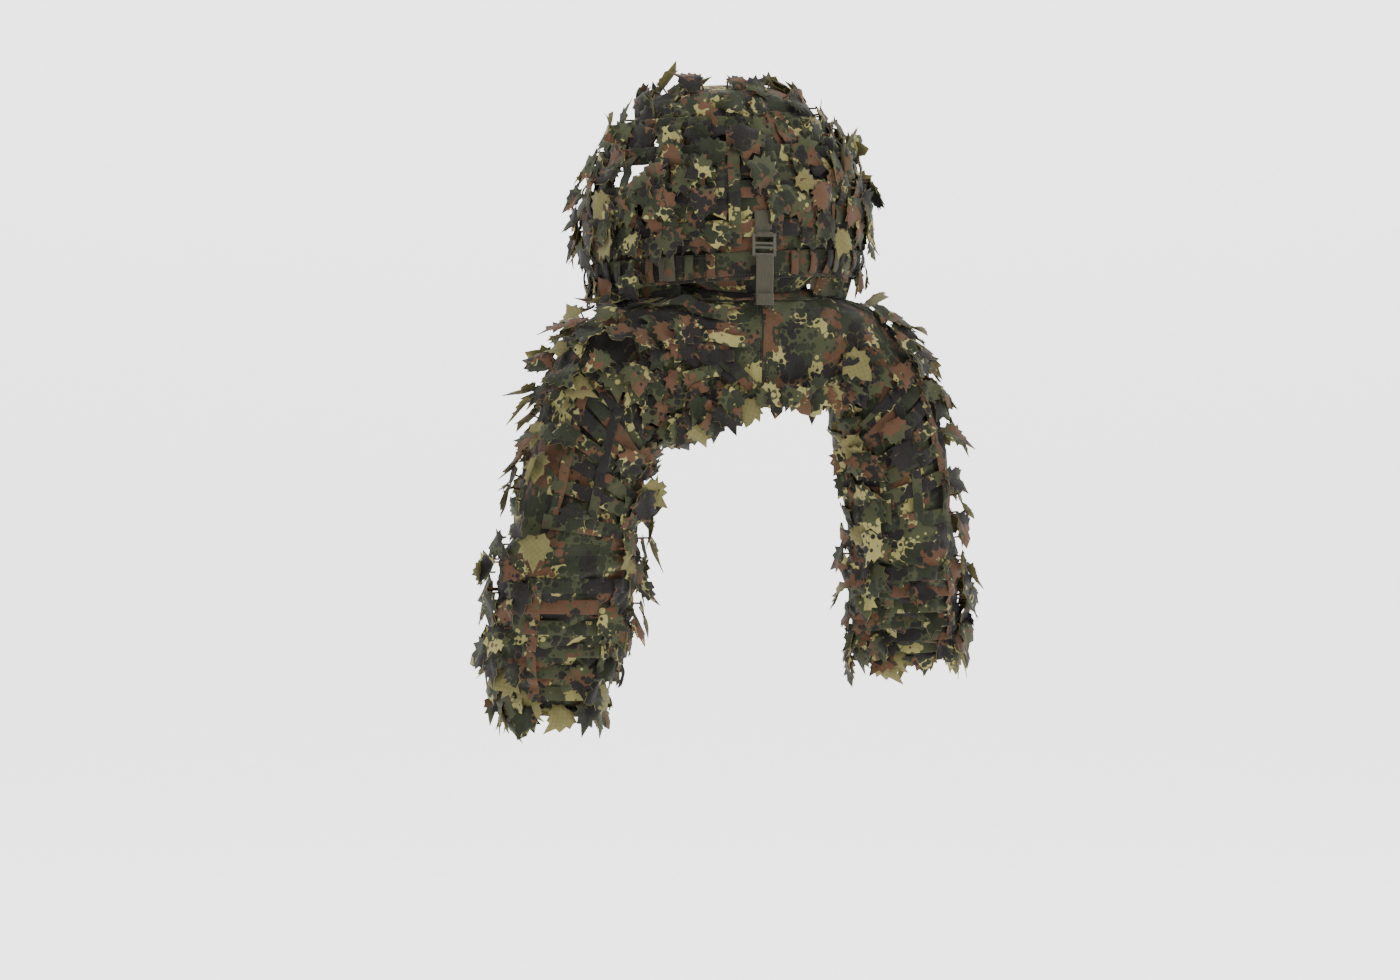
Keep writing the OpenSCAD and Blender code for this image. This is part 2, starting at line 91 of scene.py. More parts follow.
STRIP_T = 0.0009
LEAF_T = 0.0008
WRAP_R = 0.0034         # radius of webbing turned round a bar
THREAD_PITCH, RIPSTOP_PITCH = 0.0011, 0.0062
BLOT_EDGE = 0.006       # softness of a printed blot's edge
REAR_SEAM = 37.8        # degrees from the rear centre to the rear panel's side seams
TAPE_ROWS = (0.235, 0.42, 0.60, 0.74)
TAB_PHI = {"hood_left_tab": 38, "hood_right_tab": -42}

# Stations of each sleeve in mm: outer x, outer z, inner x, inner z, middle y, half depth.
STATIONS = {
    1: [(182, -8, 146, -205, -4, 84), (232, -36, 143, -232, 0, 86),
        (266, -86, 146, -255, 4, 86), (290, -156, 152, -280, 10, 84),
        (310, -235, 156, -305, 16, 82), (346, -349, 158, -349, 24, 78),
        (352, -400, 160, -402, 13, 76), (350, -450, 165, -455, -6, 73),
        (344, -505, 178, -510, -28, 70), (322, -555, 196, -560, -48, 64),
        (312, -576, 206, -580, -56, 60)],
    -1: [(184, -6, 142, -150, -4, 82), (228, -38, 142, -180, -2, 84),
         (258, -82, 146, -210, 2, 84), (280, -146, 151, -245, 6, 82),
         (300, -225, 156, -285, 10, 80), (310, -342, 157, -342, 12, 76),
         (317, -385, 162, -388, 2, 74), (328, -425, 172, -430, -22, 72),
         (338, -462, 188, -468, -50, 70), (340, -492, 200, -498, -76, 68),
         (338, -506, 204, -512, -86, 66)],
}
SIDE_NAME = {1: "left", -1: "right"}
ELBOW = 5.0             # the station of the elbow, and of the cuff's edge
CUFF = 10.0
STATION_STEP = 0.055    # about how far apart stations are, for the unevenness of the cloth


# -------- colour
def srgb(r, g, b):
    def lin(c):
        c /= 255
        return c / 12.92 if c <= 0.04045 else ((c + 0.055) / 1.055) ** 2.4
    return (lin(r), lin(g), lin(b), 1.0)


GREEN = srgb(48, 51, 30)
DARK = srgb(26, 30, 15)
BLACK = srgb(18, 15, 12)
BROWN = srgb(70, 47, 30)
PALE = srgb(121, 115, 70)
BACK = srgb(98, 92, 54)
OLIVE = srgb(56, 51, 33)
PLASTIC = srgb(38, 36, 24)


# -------- materials
def new_material(name):
    m = bpy.data.materials.new(name)
    m.use_nodes = True
    return m, m.node_tree, m.node_tree.nodes["Principled BSDF"]


def feed(g, n, inputs):
    """Give a node's inputs their numbers and colours, or link them to sockets."""
    for key, value in inputs.items():
        if isinstance(value, bpy.types.NodeSocket):
            g.links.new(value, n.inputs[key])
        else:
            n.inputs[key].default_value = value


def add_node(g, kind, inputs, **settings):
    n = g.nodes.new("ShaderNode" + kind)
    for key, value in settings.items():
        setattr(n, key, value)
    feed(g, n, inputs)
    return n


def maths(g, op, a, b=None):
    return add_node(g, "Math", {0: a} if b is None else {0: a, 1: b}, operation=op).outputs[0]


def mix(g, fac, a, b, mode="MIX"):
    return add_node(g, "Mix", {0: fac, 6: a, 7: b}, data_type="RGBA", blend_type=mode).outputs[2]


def pattern_vector(g, shift=(0, 0, 0)):
    uv = add_node(g, "UVMap", {}, uv_map="pattern").outputs[0]
    return add_node(g, "Mapping", {"Vector": uv, "Location": shift}).outputs[0]


def noise_tex(g, vector, scale, detail=2.0, rough=0.5, dimensions="2D"):
    inputs = {"Vector": vector, "Scale": scale, "Detail": detail, "Roughness": rough}
    return add_node(g, "TexNoise", inputs, noise_dimensions=dimensions).outputs[0]


def blot_layer(g, below, colour, seed, dots, zones, level):
    """Dotted blots of one printed colour: a zone noise read at the middle of each dot."""
    vector = pattern_vector(g, (seed * 3.17, seed * 1.91, 0))
    dot = add_node(g, "TexVoronoi", {"Vector": vector, "Scale": dots, "Randomness": 0.85},
                   voronoi_dimensions="2D")
    zone = noise_tex(g, dot.outputs["Position"], zones, 1.5, 0.55)
    edge = maths(g, "MULTIPLY", dot.outputs["Distance"], 0.16)
    height = maths(g, "SUBTRACT", zone, edge)
    ramp = add_node(g, "MapRange", {"Value": height, "From Min": level - BLOT_EDGE,
                                    "From Max": level + BLOT_EDGE})
    return mix(g, ramp.outputs[0], below, colour)


def camo_colour(g):
    c = blot_layer(g, GREEN, PALE, 7.0, 104, 19, 0.515)
    c = blot_layer(g, c, DARK, 1.0, 96, 16, 0.45)
    c = blot_layer(g, c, BROWN, 4.0, 92, 18, 0.51)
    return blot_layer(g, c, BLACK, 11.0, 98, 15, 0.50)


def weave_height(g, thread, rip):
    """Plain weave threads with a raised ripstop grid, as a bump height."""
    vector = pattern_vector(g)
    split = add_node(g, "SeparateXYZ", {0: vector})
    waves = []
    for i in (0, 1):
        for period in (thread, rip):
            turn = maths(g, "MULTIPLY", split.outputs[i], 2 * math.pi / period)
            waves.append(maths(g, "COSINE", turn))
    fine = maths(g, "MULTIPLY", waves[0], waves[2])
    raised = maths(g, "MAXIMUM", waves[1], waves[3])
    raised = maths(g, "POWER", maths(g, "MAXIMUM", raised, 0.0), 24.0)
    return maths(g, "ADD", maths(g, "MULTIPLY", fine, 0.35), raised), raised


def add_bump(g, bsdf, height, strength, distance):
    b = add_node(g, "Bump", {"Height": height, "Strength": strength, "Distance": distance})
    feed(g, bsdf, {"Normal": b.outputs[0]})


def cloth_material(name, kind, shade=1.0, grid_print=0.12):
    """Ripstop cloth: the printed face, or its pale unprinted back."""
    m, g, bsdf = new_material(name)
    height, raised = weave_height(g, THREAD_PITCH, RIPSTOP_PITCH)
    vector = pattern_vector(g)
    if kind == "camo":
        colour = camo_colour(g)
    else:
        tone = noise_tex(g, vector, 40, 3)
        colour = mix(g, tone, kind, tuple(c * 0.72 for c in kind[:3]) + (1,))
    # Random fading, centred on the cloth's level shade; cloth_back_painted_shade's low level is
    # painted shade on the inside of the garment.
    fade_and_shade = noise_tex(g, vector, 9, 4, 0.6)
    fade_and_shade = maths(g, "ADD", maths(g, "MULTIPLY", fade_and_shade, 0.5), shade - 0.25)
    grey = add_node(g, "CombineColor", {0: fade_and_shade, 1: fade_and_shade, 2: fade_and_shade})
    colour = mix(g, 1.0, colour, grey.outputs[0], "MULTIPLY")
    line = maths(g, "MULTIPLY", raised, grid_print)
    colour = mix(g, line, colour, (0.02, 0.02, 0.012, 1))
    rough = maths(g, "MULTIPLY", noise_tex(g, vector, 120, 2), 0.2)
    feed(g, bsdf, {"Base Color": colour, "Roughness": maths(g, "ADD", rough, 0.72),
                   "Sheen Weight": 0.05, "Sheen Roughness": 0.5, "Specular IOR Level": 0.22})
    add_bump(g, bsdf, height, 0.55, 0.0004)
    return m


def webbing_material(name, colour, period=0.0022):
    """Ribbed webbing: herringbone ribs along the tape."""
    m, g, bsdf = new_material(name)
    vector = pattern_vector(g)
    split = add_node(g, "SeparateXYZ", {0: vector})
    across = maths(g, "MULTIPLY", split.outputs[0], 2 * math.pi / period)
    along = maths(g, "MULTIPLY", split.outputs[1], 2 * math.pi / (period * 0.7))
    rib = maths(g, "COSINE", across)
    pick = maths(g, "COSINE", maths(g, "ADD", along, across))
    height = maths(g, "ADD", rib, maths(g, "MULTIPLY", pick, 0.6))
    tone = noise_tex(g, vector, 70, 3)
    dark = tuple(c * 0.62 for c in colour[:3]) + (1,)
    shade = mix(g, tone, colour, dark)
    # Painted shade: the webbing and the thread are darker in the grooves between their ribs and
    # lighter on the ribs, following the bump's height.
    lift = maths(g, "MULTIPLY", maths(g, "ADD", height, 1.6), 0.12)
    shade = mix(g, lift, dark, shade)
    rough = maths(g, "ADD", maths(g, "MULTIPLY", tone, 0.25), 0.6)
    feed(g, bsdf, {"Base Color": shade, "Roughness": rough, "Specular IOR Level": 0.35,
                   "Sheen Weight": 0.1})
    add_bump(g, bsdf, height, 0.6, 0.0004)
    return m


def plastic_material(name, colour):
    """Moulded acetal: fine grain, faint scuffs."""
    m, g, bsdf = new_material(name)
    coords = add_node(g, "TexCoord", {}).outputs["Object"]
    grain = noise_tex(g, coords, 900, 3, dimensions="3D")
    scuff = noise_tex(g, coords, 60, 5, dimensions="3D")
    light = tuple(min(1, c * 1.5) for c in colour[:3]) + (1,)
    shade = mix(g, scuff, colour, light)
    rough = maths(g, "ADD", maths(g, "MULTIPLY", scuff, 0.25), 0.36)
    feed(g, bsdf, {"Base Color": shade, "Roughness": rough})
    add_bump(g, bsdf, grain, 0.25, 0.0003)
    return m


CAMO = cloth_material("camo_face", "camo")
CAMO_LEAF = cloth_material("camo_leaf_face", "camo", 1.04)
CAMO_TRIM = cloth_material("camo_trim", "camo", 0.86)
# The unprinted back of the cloth, on the inside of the hood, yoke, sleeves and trim: BACK is its
# own pale colour, and its level of 0.66, against leaf_back's 1.06, is painted shade.
CLOTH_BACK_PAINTED_SHADE = cloth_material("cloth_back_painted_shade", BACK, 0.66, 0.3)
LEAF_BACK = cloth_material("leaf_back", BACK, 1.06, 0.42)
LADDER = cloth_material("ladder_tape", "camo", 0.92, 0.05)
WEBBING = webbing_material("olive_webbing", OLIVE)
THREAD = webbing_material("thread", srgb(70, 68, 48), 0.0006)
BUCKLE = plastic_material("olive_plastic", PLASTIC)
SHELL_MATS = [CAMO, CLOTH_BACK_PAINTED_SHADE]
TRIM_MATS = [CAMO_TRIM, CLOTH_BACK_PAINTED_SHADE]
LEAF_MATS = [CAMO_LEAF, LEAF_BACK]


# -------- surfaces
def rad(a):
    return np.radians(a)


def hood_s(t):
    t = np.asarray(t, float)
    low = 0.95 + 0.05 * np.sin(rad(90 * np.clip(t, 0, WIDE_T) / WIDE_T))
    high = (1 - (np.clip(t - WIDE_T, 0, 1) / (1 - WIDE_T)) ** 1.6) ** 0.6
    return np.where(t < WIDE_T, low, high)


def unit(v):
    return v / np.maximum(np.linalg.norm(v, axis=-1, keepdims=True), 1e-9)


def running(line):
    """Distance along a line of points, from its start."""
    return np.concatenate([[0], np.cumsum(np.linalg.norm(np.diff(line, axis=0), axis=-1))])


def bumps(p, size, depth):
    """Soft unevenness of worn cloth, from three crossed waves."""
    x, y, z = p[..., 0] / size, p[..., 1] / size, p[..., 2] / size
    return depth * (np.sin(2.1 * x + 1.3 * z + 0.7) * np.cos(1.7 * y - 0.9 * z)
                    + 0.6 * np.sin(3.7 * z - 2.3 * x + 1.9 * y)
                    + 0.35 * np.sin(6.1 * y + 4.3 * x - 5.2 * z + 2.0))


def hood_ring(phi, s, t, off):
    phi, s, t = np.broadcast_arrays(np.asarray(phi, float), s, t)
    depth = np.where(np.cos(rad(phi)) > 0, REAR_R, FRONT_R - 0.090 * t)
    x = HOOD_X0 + HALF_W * s * np.sin(rad(phi))
    y = HOOD_Y0 + depth * s * np.cos(rad(phi))
    z = HEM_Z + HOOD_H * t - TILT * x * (1 - t)
    rest = np.stack([x, y, z], -1)
    out = off + bumps(rest, 0.045, 0.0026)
    x = x + out * np.sin(rad(phi))
    y = y + out * np.cos(rad(phi))
    return np.stack([x, y, z], -1)


def hood_pt(phi, t, off=0.0):
    return hood_ring(phi, hood_s(t), np.asarray(t, float), off)


def crown_pt(phi, rise, off=0.0):
    rise = np.asarray(rise, float)
    p = hood_ring(phi, hood_s(CROWN_T) * np.cos(rad(rise)),
                  CROWN_T + (1 - CROWN_T) * np.sin(rad(rise)), off * np.cos(rad(rise)))
    p[..., 2] += off * np.sin(rad(rise)) - 0.004 * (1 - np.cos(rad(2 * rise)))
    return p


def yoke_top(x):
    return TOP_Z - 1.1 * x * x


def yoke_r(x, side):
    return YOKE_R[side] - 0.97 * x * x


def start_w(x, side):
    inside = np.clip(1 - (x / COLLAR[0]) ** 2, 0, 1)
    return np.degrees(np.arcsin((COLLAR[1] * np.sqrt(inside) + 0.001) / yoke_r(x, side)))


def hem_z(x, side):
    if side < 0:
        return -0.142 - np.where(x > 0, 0.30 * x, -0.06 * x)
    return -0.146 - np.where(x > 0, 0.45 * x, 0.12 * x)


def yoke_raw(x, q, off, side):
    x, q = np.broadcast_arrays(np.asarray(x, float), np.asarray(q, float))
    w = np.where(q < 1, start_w(x, side) + (90 - start_w(x, side)) * q, 90.0)
    down = np.where(q < 1, 0, (q - 1)) * (yoke_top(x) - ROUND_H - hem_z(x, side))
    y = SEAM_Y + side * (yoke_r(x, side) + off) * np.sin(rad(w))
    z = yoke_top(x) - (ROUND_H + off) * (1 - np.cos(rad(w))) + off - down
    return np.stack([x, y, z], -1)


def sleeve_pt(hand, v, a, off=0.0):
    """A point on a sleeve: v runs along its stations, a turns from outside to rear."""
    st = np.array(STATIONS[hand], float) / 1000
    v, a = np.broadcast_arrays(np.asarray(v, float), np.asarray(a, float))
    k = np.clip(np.floor(v).astype(int), 0, len(st) - 2)
    f = (v - k)[..., None]
    # A smooth curve through the stations, so that no ring shows as a crease.
    before, after = np.clip(k - 1, 0, None), np.clip(k + 2, None, len(st) - 1)
    m0, m1 = (st[k + 1] - st[before]) / 2, (st[after] - st[k]) / 2
    f2, f3 = f * f, f * f * f
    s = ((2 * f3 - 3 * f2 + 1) * st[k] + (f3 - 2 * f2 + f) * m0
         + (3 * f2 - 2 * f3) * st[k + 1] + (f3 - f2) * m1)
    out, inn = s[..., 0:2], s[..., 2:4]
    mid, half = (out + inn) / 2, (out - inn) / 2
    size = np.linalg.norm(half, axis=-1)
    ca, sa = np.cos(rad(a)), np.sin(rad(a))
    rest = np.stack([hand * mid[..., 0] + size * ca, s[..., 4] + size * sa, v * STATION_STEP], -1)
    off = off + bumps(rest, 0.036, 0.0030) * np.clip(v, 0, 1)
    u = half * (1 + off / size)[..., None]
    return np.stack([hand * (mid[..., 0] + u[..., 0] * ca), s[..., 4] + (s[..., 5] + off) * sa,
                     mid[..., 1] + u[..., 1] * ca], -1)


def arm_edge(hand, q, side):
    z = yoke_raw(0.165 * hand, q, 0, side)[..., 2]
    return (0.182 + 0.183 * (z + 0.008)) if hand > 0 else (0.184 + 0.292 * (z + 0.006))


def smooth_step(x):
    x = np.clip(x, 0, 1)
    return x * x * (3 - 2 * x)


def yoke_pt(hand, side, f, q, off=0.0):
    """A point on a half of the yoke: f runs from its centre edge to the armhole, where it
    meets the sleeve's top ring."""
    f, q = np.broadcast_arrays(np.asarray(f, float), np.asarray(q, float))
    x0 = 0.0 if side > 0 else FRONT_GAP / 2
    edge = arm_edge(hand, q, side)
    p = yoke_raw(hand * (x0 + (edge - x0) * f), q, off, side)
    end = yoke_raw(hand * edge, q, off, side)
    st = STATIONS[hand][0]
    mid_z, half_z = (st[1] + st[3]) / 2000, (st[1] - st[3]) / 2000
    turn = np.degrees(np.arccos(np.clip((end[..., 2] - mid_z) / half_z, -1, 1)))
    ring = sleeve_pt(hand, np.zeros_like(turn), side * turn, off)
    p = p + (ring - end) * (smooth_step((f - 0.45) / 0.55) ** 1.5)[..., None]
    folds = (0.0035 * np.sin(9 * f + 3.1 * q + hand) * np.sin(2.2 * q + 0.4)
             + 0.0020 * np.sin(17 * f - 7 * q + 2 * hand)
             + 0.0012 * np.sin(31 * f + 13 * q))
    folds = folds * smooth_step(4 * (1 - f)) * smooth_step(3 * q)
    p[..., 1] += side * folds
    p[..., 2] += 0.3 * folds
    return p


# -------- meshes
def add_object(name, data):
    obj = bpy.data.objects.new(name, data)
    bpy.context.scene.collection.objects.link(obj)
    return obj


def build(name, verts, faces, mats, ids=None, uv=None, smooth=True):
    """A mesh object from arrays; uv is one pattern coordinate a vertex, in metres."""
    mesh = bpy.data.meshes.new(name)
    mesh.from_pydata(np.asarray(verts).tolist(), [], [list(map(int, f)) for f in faces])
    for m in mats:
        mesh.materials.append(m)
    if ids is not None:
        mesh.polygons.foreach_set("material_index", np.asarray(ids, np.int32))
    mesh.polygons.foreach_set("use_smooth", np.full(len(mesh.polygons), smooth))
    if uv is not None:
        layer = mesh.uv_layers.new(name="pattern")
        index = np.zeros(len(mesh.loops), np.int32)
        mesh.loops.foreach_get("vertex_index", index)
        layer.data.foreach_set("uv", np.asarray(uv, np.float32)[index].ravel())
    mesh.update()
    return add_object(name, mesh)


def grid_normals(p, wrap):
    if wrap:
        du = np.roll(p, -1, 1) - np.roll(p, 1, 1)
    else:
        du = np.gradient(p, axis=1)
    dv = np.gradient(p, axis=0)
    return unit(np.cross(du, dv))


def grid_uv(p):
    """Pattern coordinates of a grid: lengths along its middle row and its mean column."""
    u = running(p[len(p) // 2])
    step = np.linalg.norm(np.diff(p, axis=0), axis=-1).mean(1)
    return np.stack(np.meshgrid(u, np.concatenate([[0], np.cumsum(step)])), -1)


def cell(i, j, cols):
    """The corners of one cell of a grid that closes on itself along its rows."""
    a, b = i * cols + j, i * cols + (j + 1) % cols
    return [a, b, b + cols, a + cols]


def loft_faces(n, m, flip=False):
    """The faces of n rings of m points, closed at both ends."""
    quads = [cell(i, k, m) for i in range(n - 1) for k in range(m)]
    ends = [list(range(m))[::-1], [(n - 1) * m + k for k in range(m)]]
    if flip:
        return [[a, d, c, b] for a, b, c, d in quads] + [end[::-1] for end in ends]
    return quads + ends


def open_edges(faces):
    """The edges of some faces that only one of them has, in that face's direction."""
    edges = {}
    for f in faces:
        for e in zip(f, f[1:] + f[:1]):
            if e[::-1] in edges:
                del edges[e[::-1]]
            else:
                edges[e] = True
    return list(edges)


def cloth_part(p, thick, flip=False, wrap=False, keep=None, uv_shift=(0, 0)):
    """A closed sheet of cloth round a grid of points, as (verts, faces, ids, uv); keep says
    which cells are there."""
    rows, cols = p.shape[:2]
    n = grid_normals(p, wrap) * (-1 if flip else 1)
    uv = grid_uv(p) + np.array(uv_shift)
    outer, inner = p + n * thick / 2, p - n * thick / 2
    count = rows * cols
    if keep is None:
        keep = np.ones((rows - 1, cols if wrap else cols - 1), bool)
    faces, ids = [], []
    for i, j in np.argwhere(keep):
        quad = cell(i, j, cols)[::-1 if flip else 1]
        faces += [quad, [k + count for k in quad[::-1]]]
        ids += [0, 1]
    rim = open_edges(faces[::2])
    faces += [[b, a, a + count, b + count] for a, b in rim]
    ids += [0] * len(rim)
    verts = np.concatenate([outer.reshape(-1, 3), inner.reshape(-1, 3)])
    uv = np.concatenate([uv.reshape(-1, 2)] * 2)
    used = np.zeros(len(verts), bool)
    for f in faces:
        used[f] = True
    fresh = np.cumsum(used) - 1
    return verts[used], [[fresh[k] for k in f] for f in faces], ids, uv[used]


def cloth(name, p, thick, mats, **look):
    verts, faces, ids, uv = cloth_part(p, thick, **look)
    return build(name, verts, faces, mats, ids, uv)


def settle(p, wrap=False, flip=False, spare=0.035, steps=12, most=0.0045):
    """A grid of cloth after a short cloth simulation. A little spare cloth wrinkles between
    its held edges; it moves inwards far more than outwards, so it stays under what is sewn on."""
    rows, cols = p.shape[:2]
    faces = [cell(i, j, cols) for i in range(rows - 1) for j in range(cols if wrap else cols - 1)]
    rough = np.sin(np.arange(rows * cols) * 2.399).reshape(rows, cols)
    n = grid_normals(p, wrap) * (-1 if flip else 1)
    sheet = build("settling", (p + n * 0.0004 * rough[..., None]).reshape(-1, 3), faces, [])
    held = np.zeros((rows, cols), bool)
    held[:2] = held[-2:] = True
    if not wrap:
        held[:, :2] = held[:, -2:] = True
    group = sheet.vertex_groups.new(name="held")
    group.add([int(k) for k in np.flatnonzero(held)], 1.0, "REPLACE")
    modifier = sheet.modifiers.new("cloth", "CLOTH")
    c = modifier.settings
    c.quality = 4
    c.mass = 0.05
    c.tension_stiffness = c.compression_stiffness = 30
    c.shear_stiffness = 6
    c.bending_stiffness = 0.05
    c.shrink_min = -spare
    c.vertex_group_mass = "held"
    c.effector_weights.gravity = 0.3
    modifier.collision_settings.use_collision = False
    modifier.point_cache.frame_start, modifier.point_cache.frame_end = 1, steps
    scene = bpy.context.scene
    for k in range(1, steps + 1):
        scene.frame_set(k)
    moved = sheet.evaluated_get(bpy.context.evaluated_depsgraph_get())
    mesh = moved.to_mesh()
    at = np.zeros(rows * cols * 3, np.float32)
    mesh.vertices.foreach_get("co", at)
    moved.to_mesh_clear()
    scene.frame_set(1)
    bpy.data.objects.remove(sheet, do_unlink=True)
    move = np.nan_to_num(at.reshape(p.shape).astype(float) - p)
    out = (move * n).sum(-1, keepdims=True)
    slide = move - out * n
    size = np.linalg.norm(slide, axis=-1, keepdims=True)
    slide = slide * np.minimum(1, most / np.maximum(size, 1e-9))
    return p + slide + n * np.clip(out, -most, 0.3 * most)


def declare(obj, p):
    return obj


def join_parts(name, parts, mats, smooth=True):
    """One object from several (verts, faces, material ids, uv)."""
    verts, faces, ids, uv, base = [], [], [], [], 0
    for v, f, i, u in parts:
        verts.append(v)
        faces += [[k + base for k in face] for face in f]
        ids += list(i)
        uv.append(u)
        base += len(v)
    return build(name, np.concatenate(verts), faces, mats, ids, np.concatenate(uv), smooth)


def strip(centre, across, out, width, thick, uv0=(0.0, 0.0)):
    """A flat tape along a line of points: its width runs along across, its face along out."""
    across, out = unit(across), unit(out)
    profile = [(-0.5, 0.1), (-0.44, 0.5), (0.44, 0.5), (0.5, 0.1), (0.5, -0.1), (0.44, -0.5),
               (-0.44, -0.5), (-0.5, -0.1)]
    verts = [c + side * a * width + up * b * thick
             for c, side, up in zip(centre, across, out) for a, b in profile]
    uv = [(uv0[0] + a * width, uv0[1] + run) for run in running(centre) for a, b in profile]
    faces = loft_faces(len(centre), len(profile), flip=True)
    return np.array(verts), faces, [0] * len(faces), np.array(uv)


def tube(centre, radius, sides=8):
    """A round cord of cloth along a line, as (verts, faces, ids, uv)."""
    along = unit(np.gradient(centre, axis=0))
    up = np.array([0.0, 0.0, 1.0])
    verts, uv = [], []
    run = running(centre)
    side = None
    for i, c in enumerate(centre):
        s = np.cross(along[i], up if side is None else np.cross(side, along[i]))
        side = s = unit(s)
        o2 = np.cross(s, along[i])
        for k in range(sides):
            a = 2 * math.pi * k / sides
            verts.append(c + radius * (s * math.cos(a) + o2 * math.sin(a)))
            uv.append((radius * a, run[i]))
    faces = loft_faces(len(centre), sides)
    return np.array(verts), faces, [0] * len(faces), np.array(uv)


def surface_line(fn, a, b, lift):
    """Points, side and outward directions along a curve on a surface fn(u, v, off)."""
    h = 1e-3
    p = fn(a, b, lift)
    out = unit(fn(a, b, lift + h) - p)
    return p, np.cross(np.gradient(p, axis=0), out), out


def tape(fn, a0, b0, a1, b1, n, lift, width, bulge, loops, uv0):
    """A tape between two places on a surface, sewn down between bulging loops."""
    s = np.linspace(0, 1, n)
    rise = lift + bulge * np.abs(np.sin(np.pi * loops * s)) ** 0.8
    p, across, out = surface_line(fn, a0 + (a1 - a0) * s, b0 + (b1 - b0) * s, rise)
    return strip(p, across, out, width, TAPE_T, uv0)


def stitches(fn, a, b, lift, pitch=0.0044):
    """A row of raised stitches along a line of a surface, as (verts, faces, ids, uv)."""
    p, across, out = surface_line(fn, a, b, lift)
    across = unit(across)
    along, run = np.cross(out, across), running(p)
    at = np.arange(0.5 * pitch, run[-1], pitch)
    c, side, up, way = [np.stack([np.interp(at, run, g[:, k]) for k in range(3)], -1)
                        for g in (p, across, out, along)]
    ends = [way * 0.0014, side * 0.0004, way * -0.0014, side * -0.0004, up * 0.0005, up * -0.0004]
    verts = np.stack([c + e for e in ends], 1).reshape(-1, 3)
    tris = [(0, 1, 4), (1, 2, 4), (2, 3, 4), (3, 0, 4), (1, 0, 5), (2, 1, 5), (3, 2, 5), (0, 3, 5)]
    faces = [[6 * k + i for i in t] for k in range(len(at)) for t in tris]
    uv = np.stack([np.repeat(at, 6), np.tile(np.arange(6) * 0.0004, len(at))], -1)
    return verts, faces, [0] * len(faces), uv


def stitch_row(fn, u0, v0, u1, v1, lift, n=60):
    """Stitches from one point of a surface to another."""
    return stitches(fn, np.linspace(u0, u1, n), np.linspace(v0, v1, n), lift)


# -------- leaves
LEAF_HALVES = [
    [(0.03, 0), (0.06, 0.08), (0.24, 0.03), (0.27, 0.13), (0.45, 0.14), (0.36, 0.25),
     (0.50, 0.34), (0.40, 0.40), (0.46, 0.52), (0.31, 0.52), (0.29, 0.70), (0.15, 0.70)],
    [(0.03, 0), (0.10, 0.07), (0.28, 0.08), (0.24, 0.20), (0.42, 0.27), (0.34, 0.36),
     (0.46, 0.52), (0.29, 0.52), (0.29, 0.72), (0.14, 0.72)],
    [(0.04, 0), (0.24, -0.04), (0.29, 0.07), (0.50, 0.15), (0.39, 0.26), (0.50, 0.44),
     (0.34, 0.45), (0.31, 0.65), (0.17, 0.64)],
    [(0.04, 0), (0.12, 0.10), (0.34, 0.08), (0.30, 0.21), (0.46, 0.34), (0.33, 0.40),
     (0.38, 0.60), (0.22, 0.60), (0.19, 0.78)],
]


def leaf_pattern(half, seed):
    """The flat cut of one leaf as triangles, its outline first."""
    rng = random.Random(seed)
    left = [(-x * rng.uniform(0.85, 1.12), y + rng.uniform(-0.03, 0.03)) for x, y in half[::-1]]
    outline = half + [(rng.uniform(-0.03, 0.03), 1.0)] + left
    inner = [(x * 0.1, y * 0.125) for y in range(1, 7) for x in (-2, -1, 0, 1, 2)
             if abs(x) * 0.1 < 0.24 - 0.025 * y]
    points = [Vector(p) for p in outline + inner]
    edge = list(range(len(outline)))
    result = delaunay_2d_cdt(points, [], [edge], 1, 1e-4)
    return np.array([tuple(v) for v in result[0]]), [list(f) for f in result[2]]


LEAVES = [leaf_pattern(h, 7 + i) for i, h in enumerate(LEAF_HALVES * 2)]


def leaf_mesh(rng, origin, tip, out, length, curl, pale):
    """One bent leaf: origin is its stalk, tip its direction and out its face."""
    flat, faces = LEAVES[rng.randrange(len(LEAVES))]
    x, y = flat[:, 0], flat[:, 1]
    cup, wave = rng.uniform(-0.25, 0.45), rng.uniform(0, 6.28)
    z = (curl * (y ** 2) * 0.5 + cup * np.abs(x) * 0.6 + 0.05 * np.sin(7 * x + 5 * y + wave))
    twist = rng.uniform(-0.5, 0.5) * y
    x3, z3 = x * np.cos(twist) - z * np.sin(twist), x * np.sin(twist) + z * np.cos(twist)
    side = np.cross(tip, out)
    place = origin + length * (x3[:, None] * side + y[:, None] * tip + z3[:, None] * out)
    half = LEAF_T / 2 * out
    verts = np.concatenate([place + half, place - half])
    n = len(flat)
    turn = rng.uniform(0, 2 * math.pi)
    c, s = math.cos(turn), math.sin(turn)
    uv = length * flat @ np.array([[c, s], [-s, c]])
    uv = uv + np.array([rng.uniform(0, 9), rng.uniform(0, 9)])
    front, rear = (1, 0) if pale else (0, 1)
    rim = open_edges(faces)
    both = [g for f in faces for g in (f[::-1], [k + n for k in f])]
    both += [[a, b, b + n, a + n] for a, b in rim]
    return verts, both, [front, rear] * len(faces) + [rear] * len(rim), np.concatenate([uv, uv])


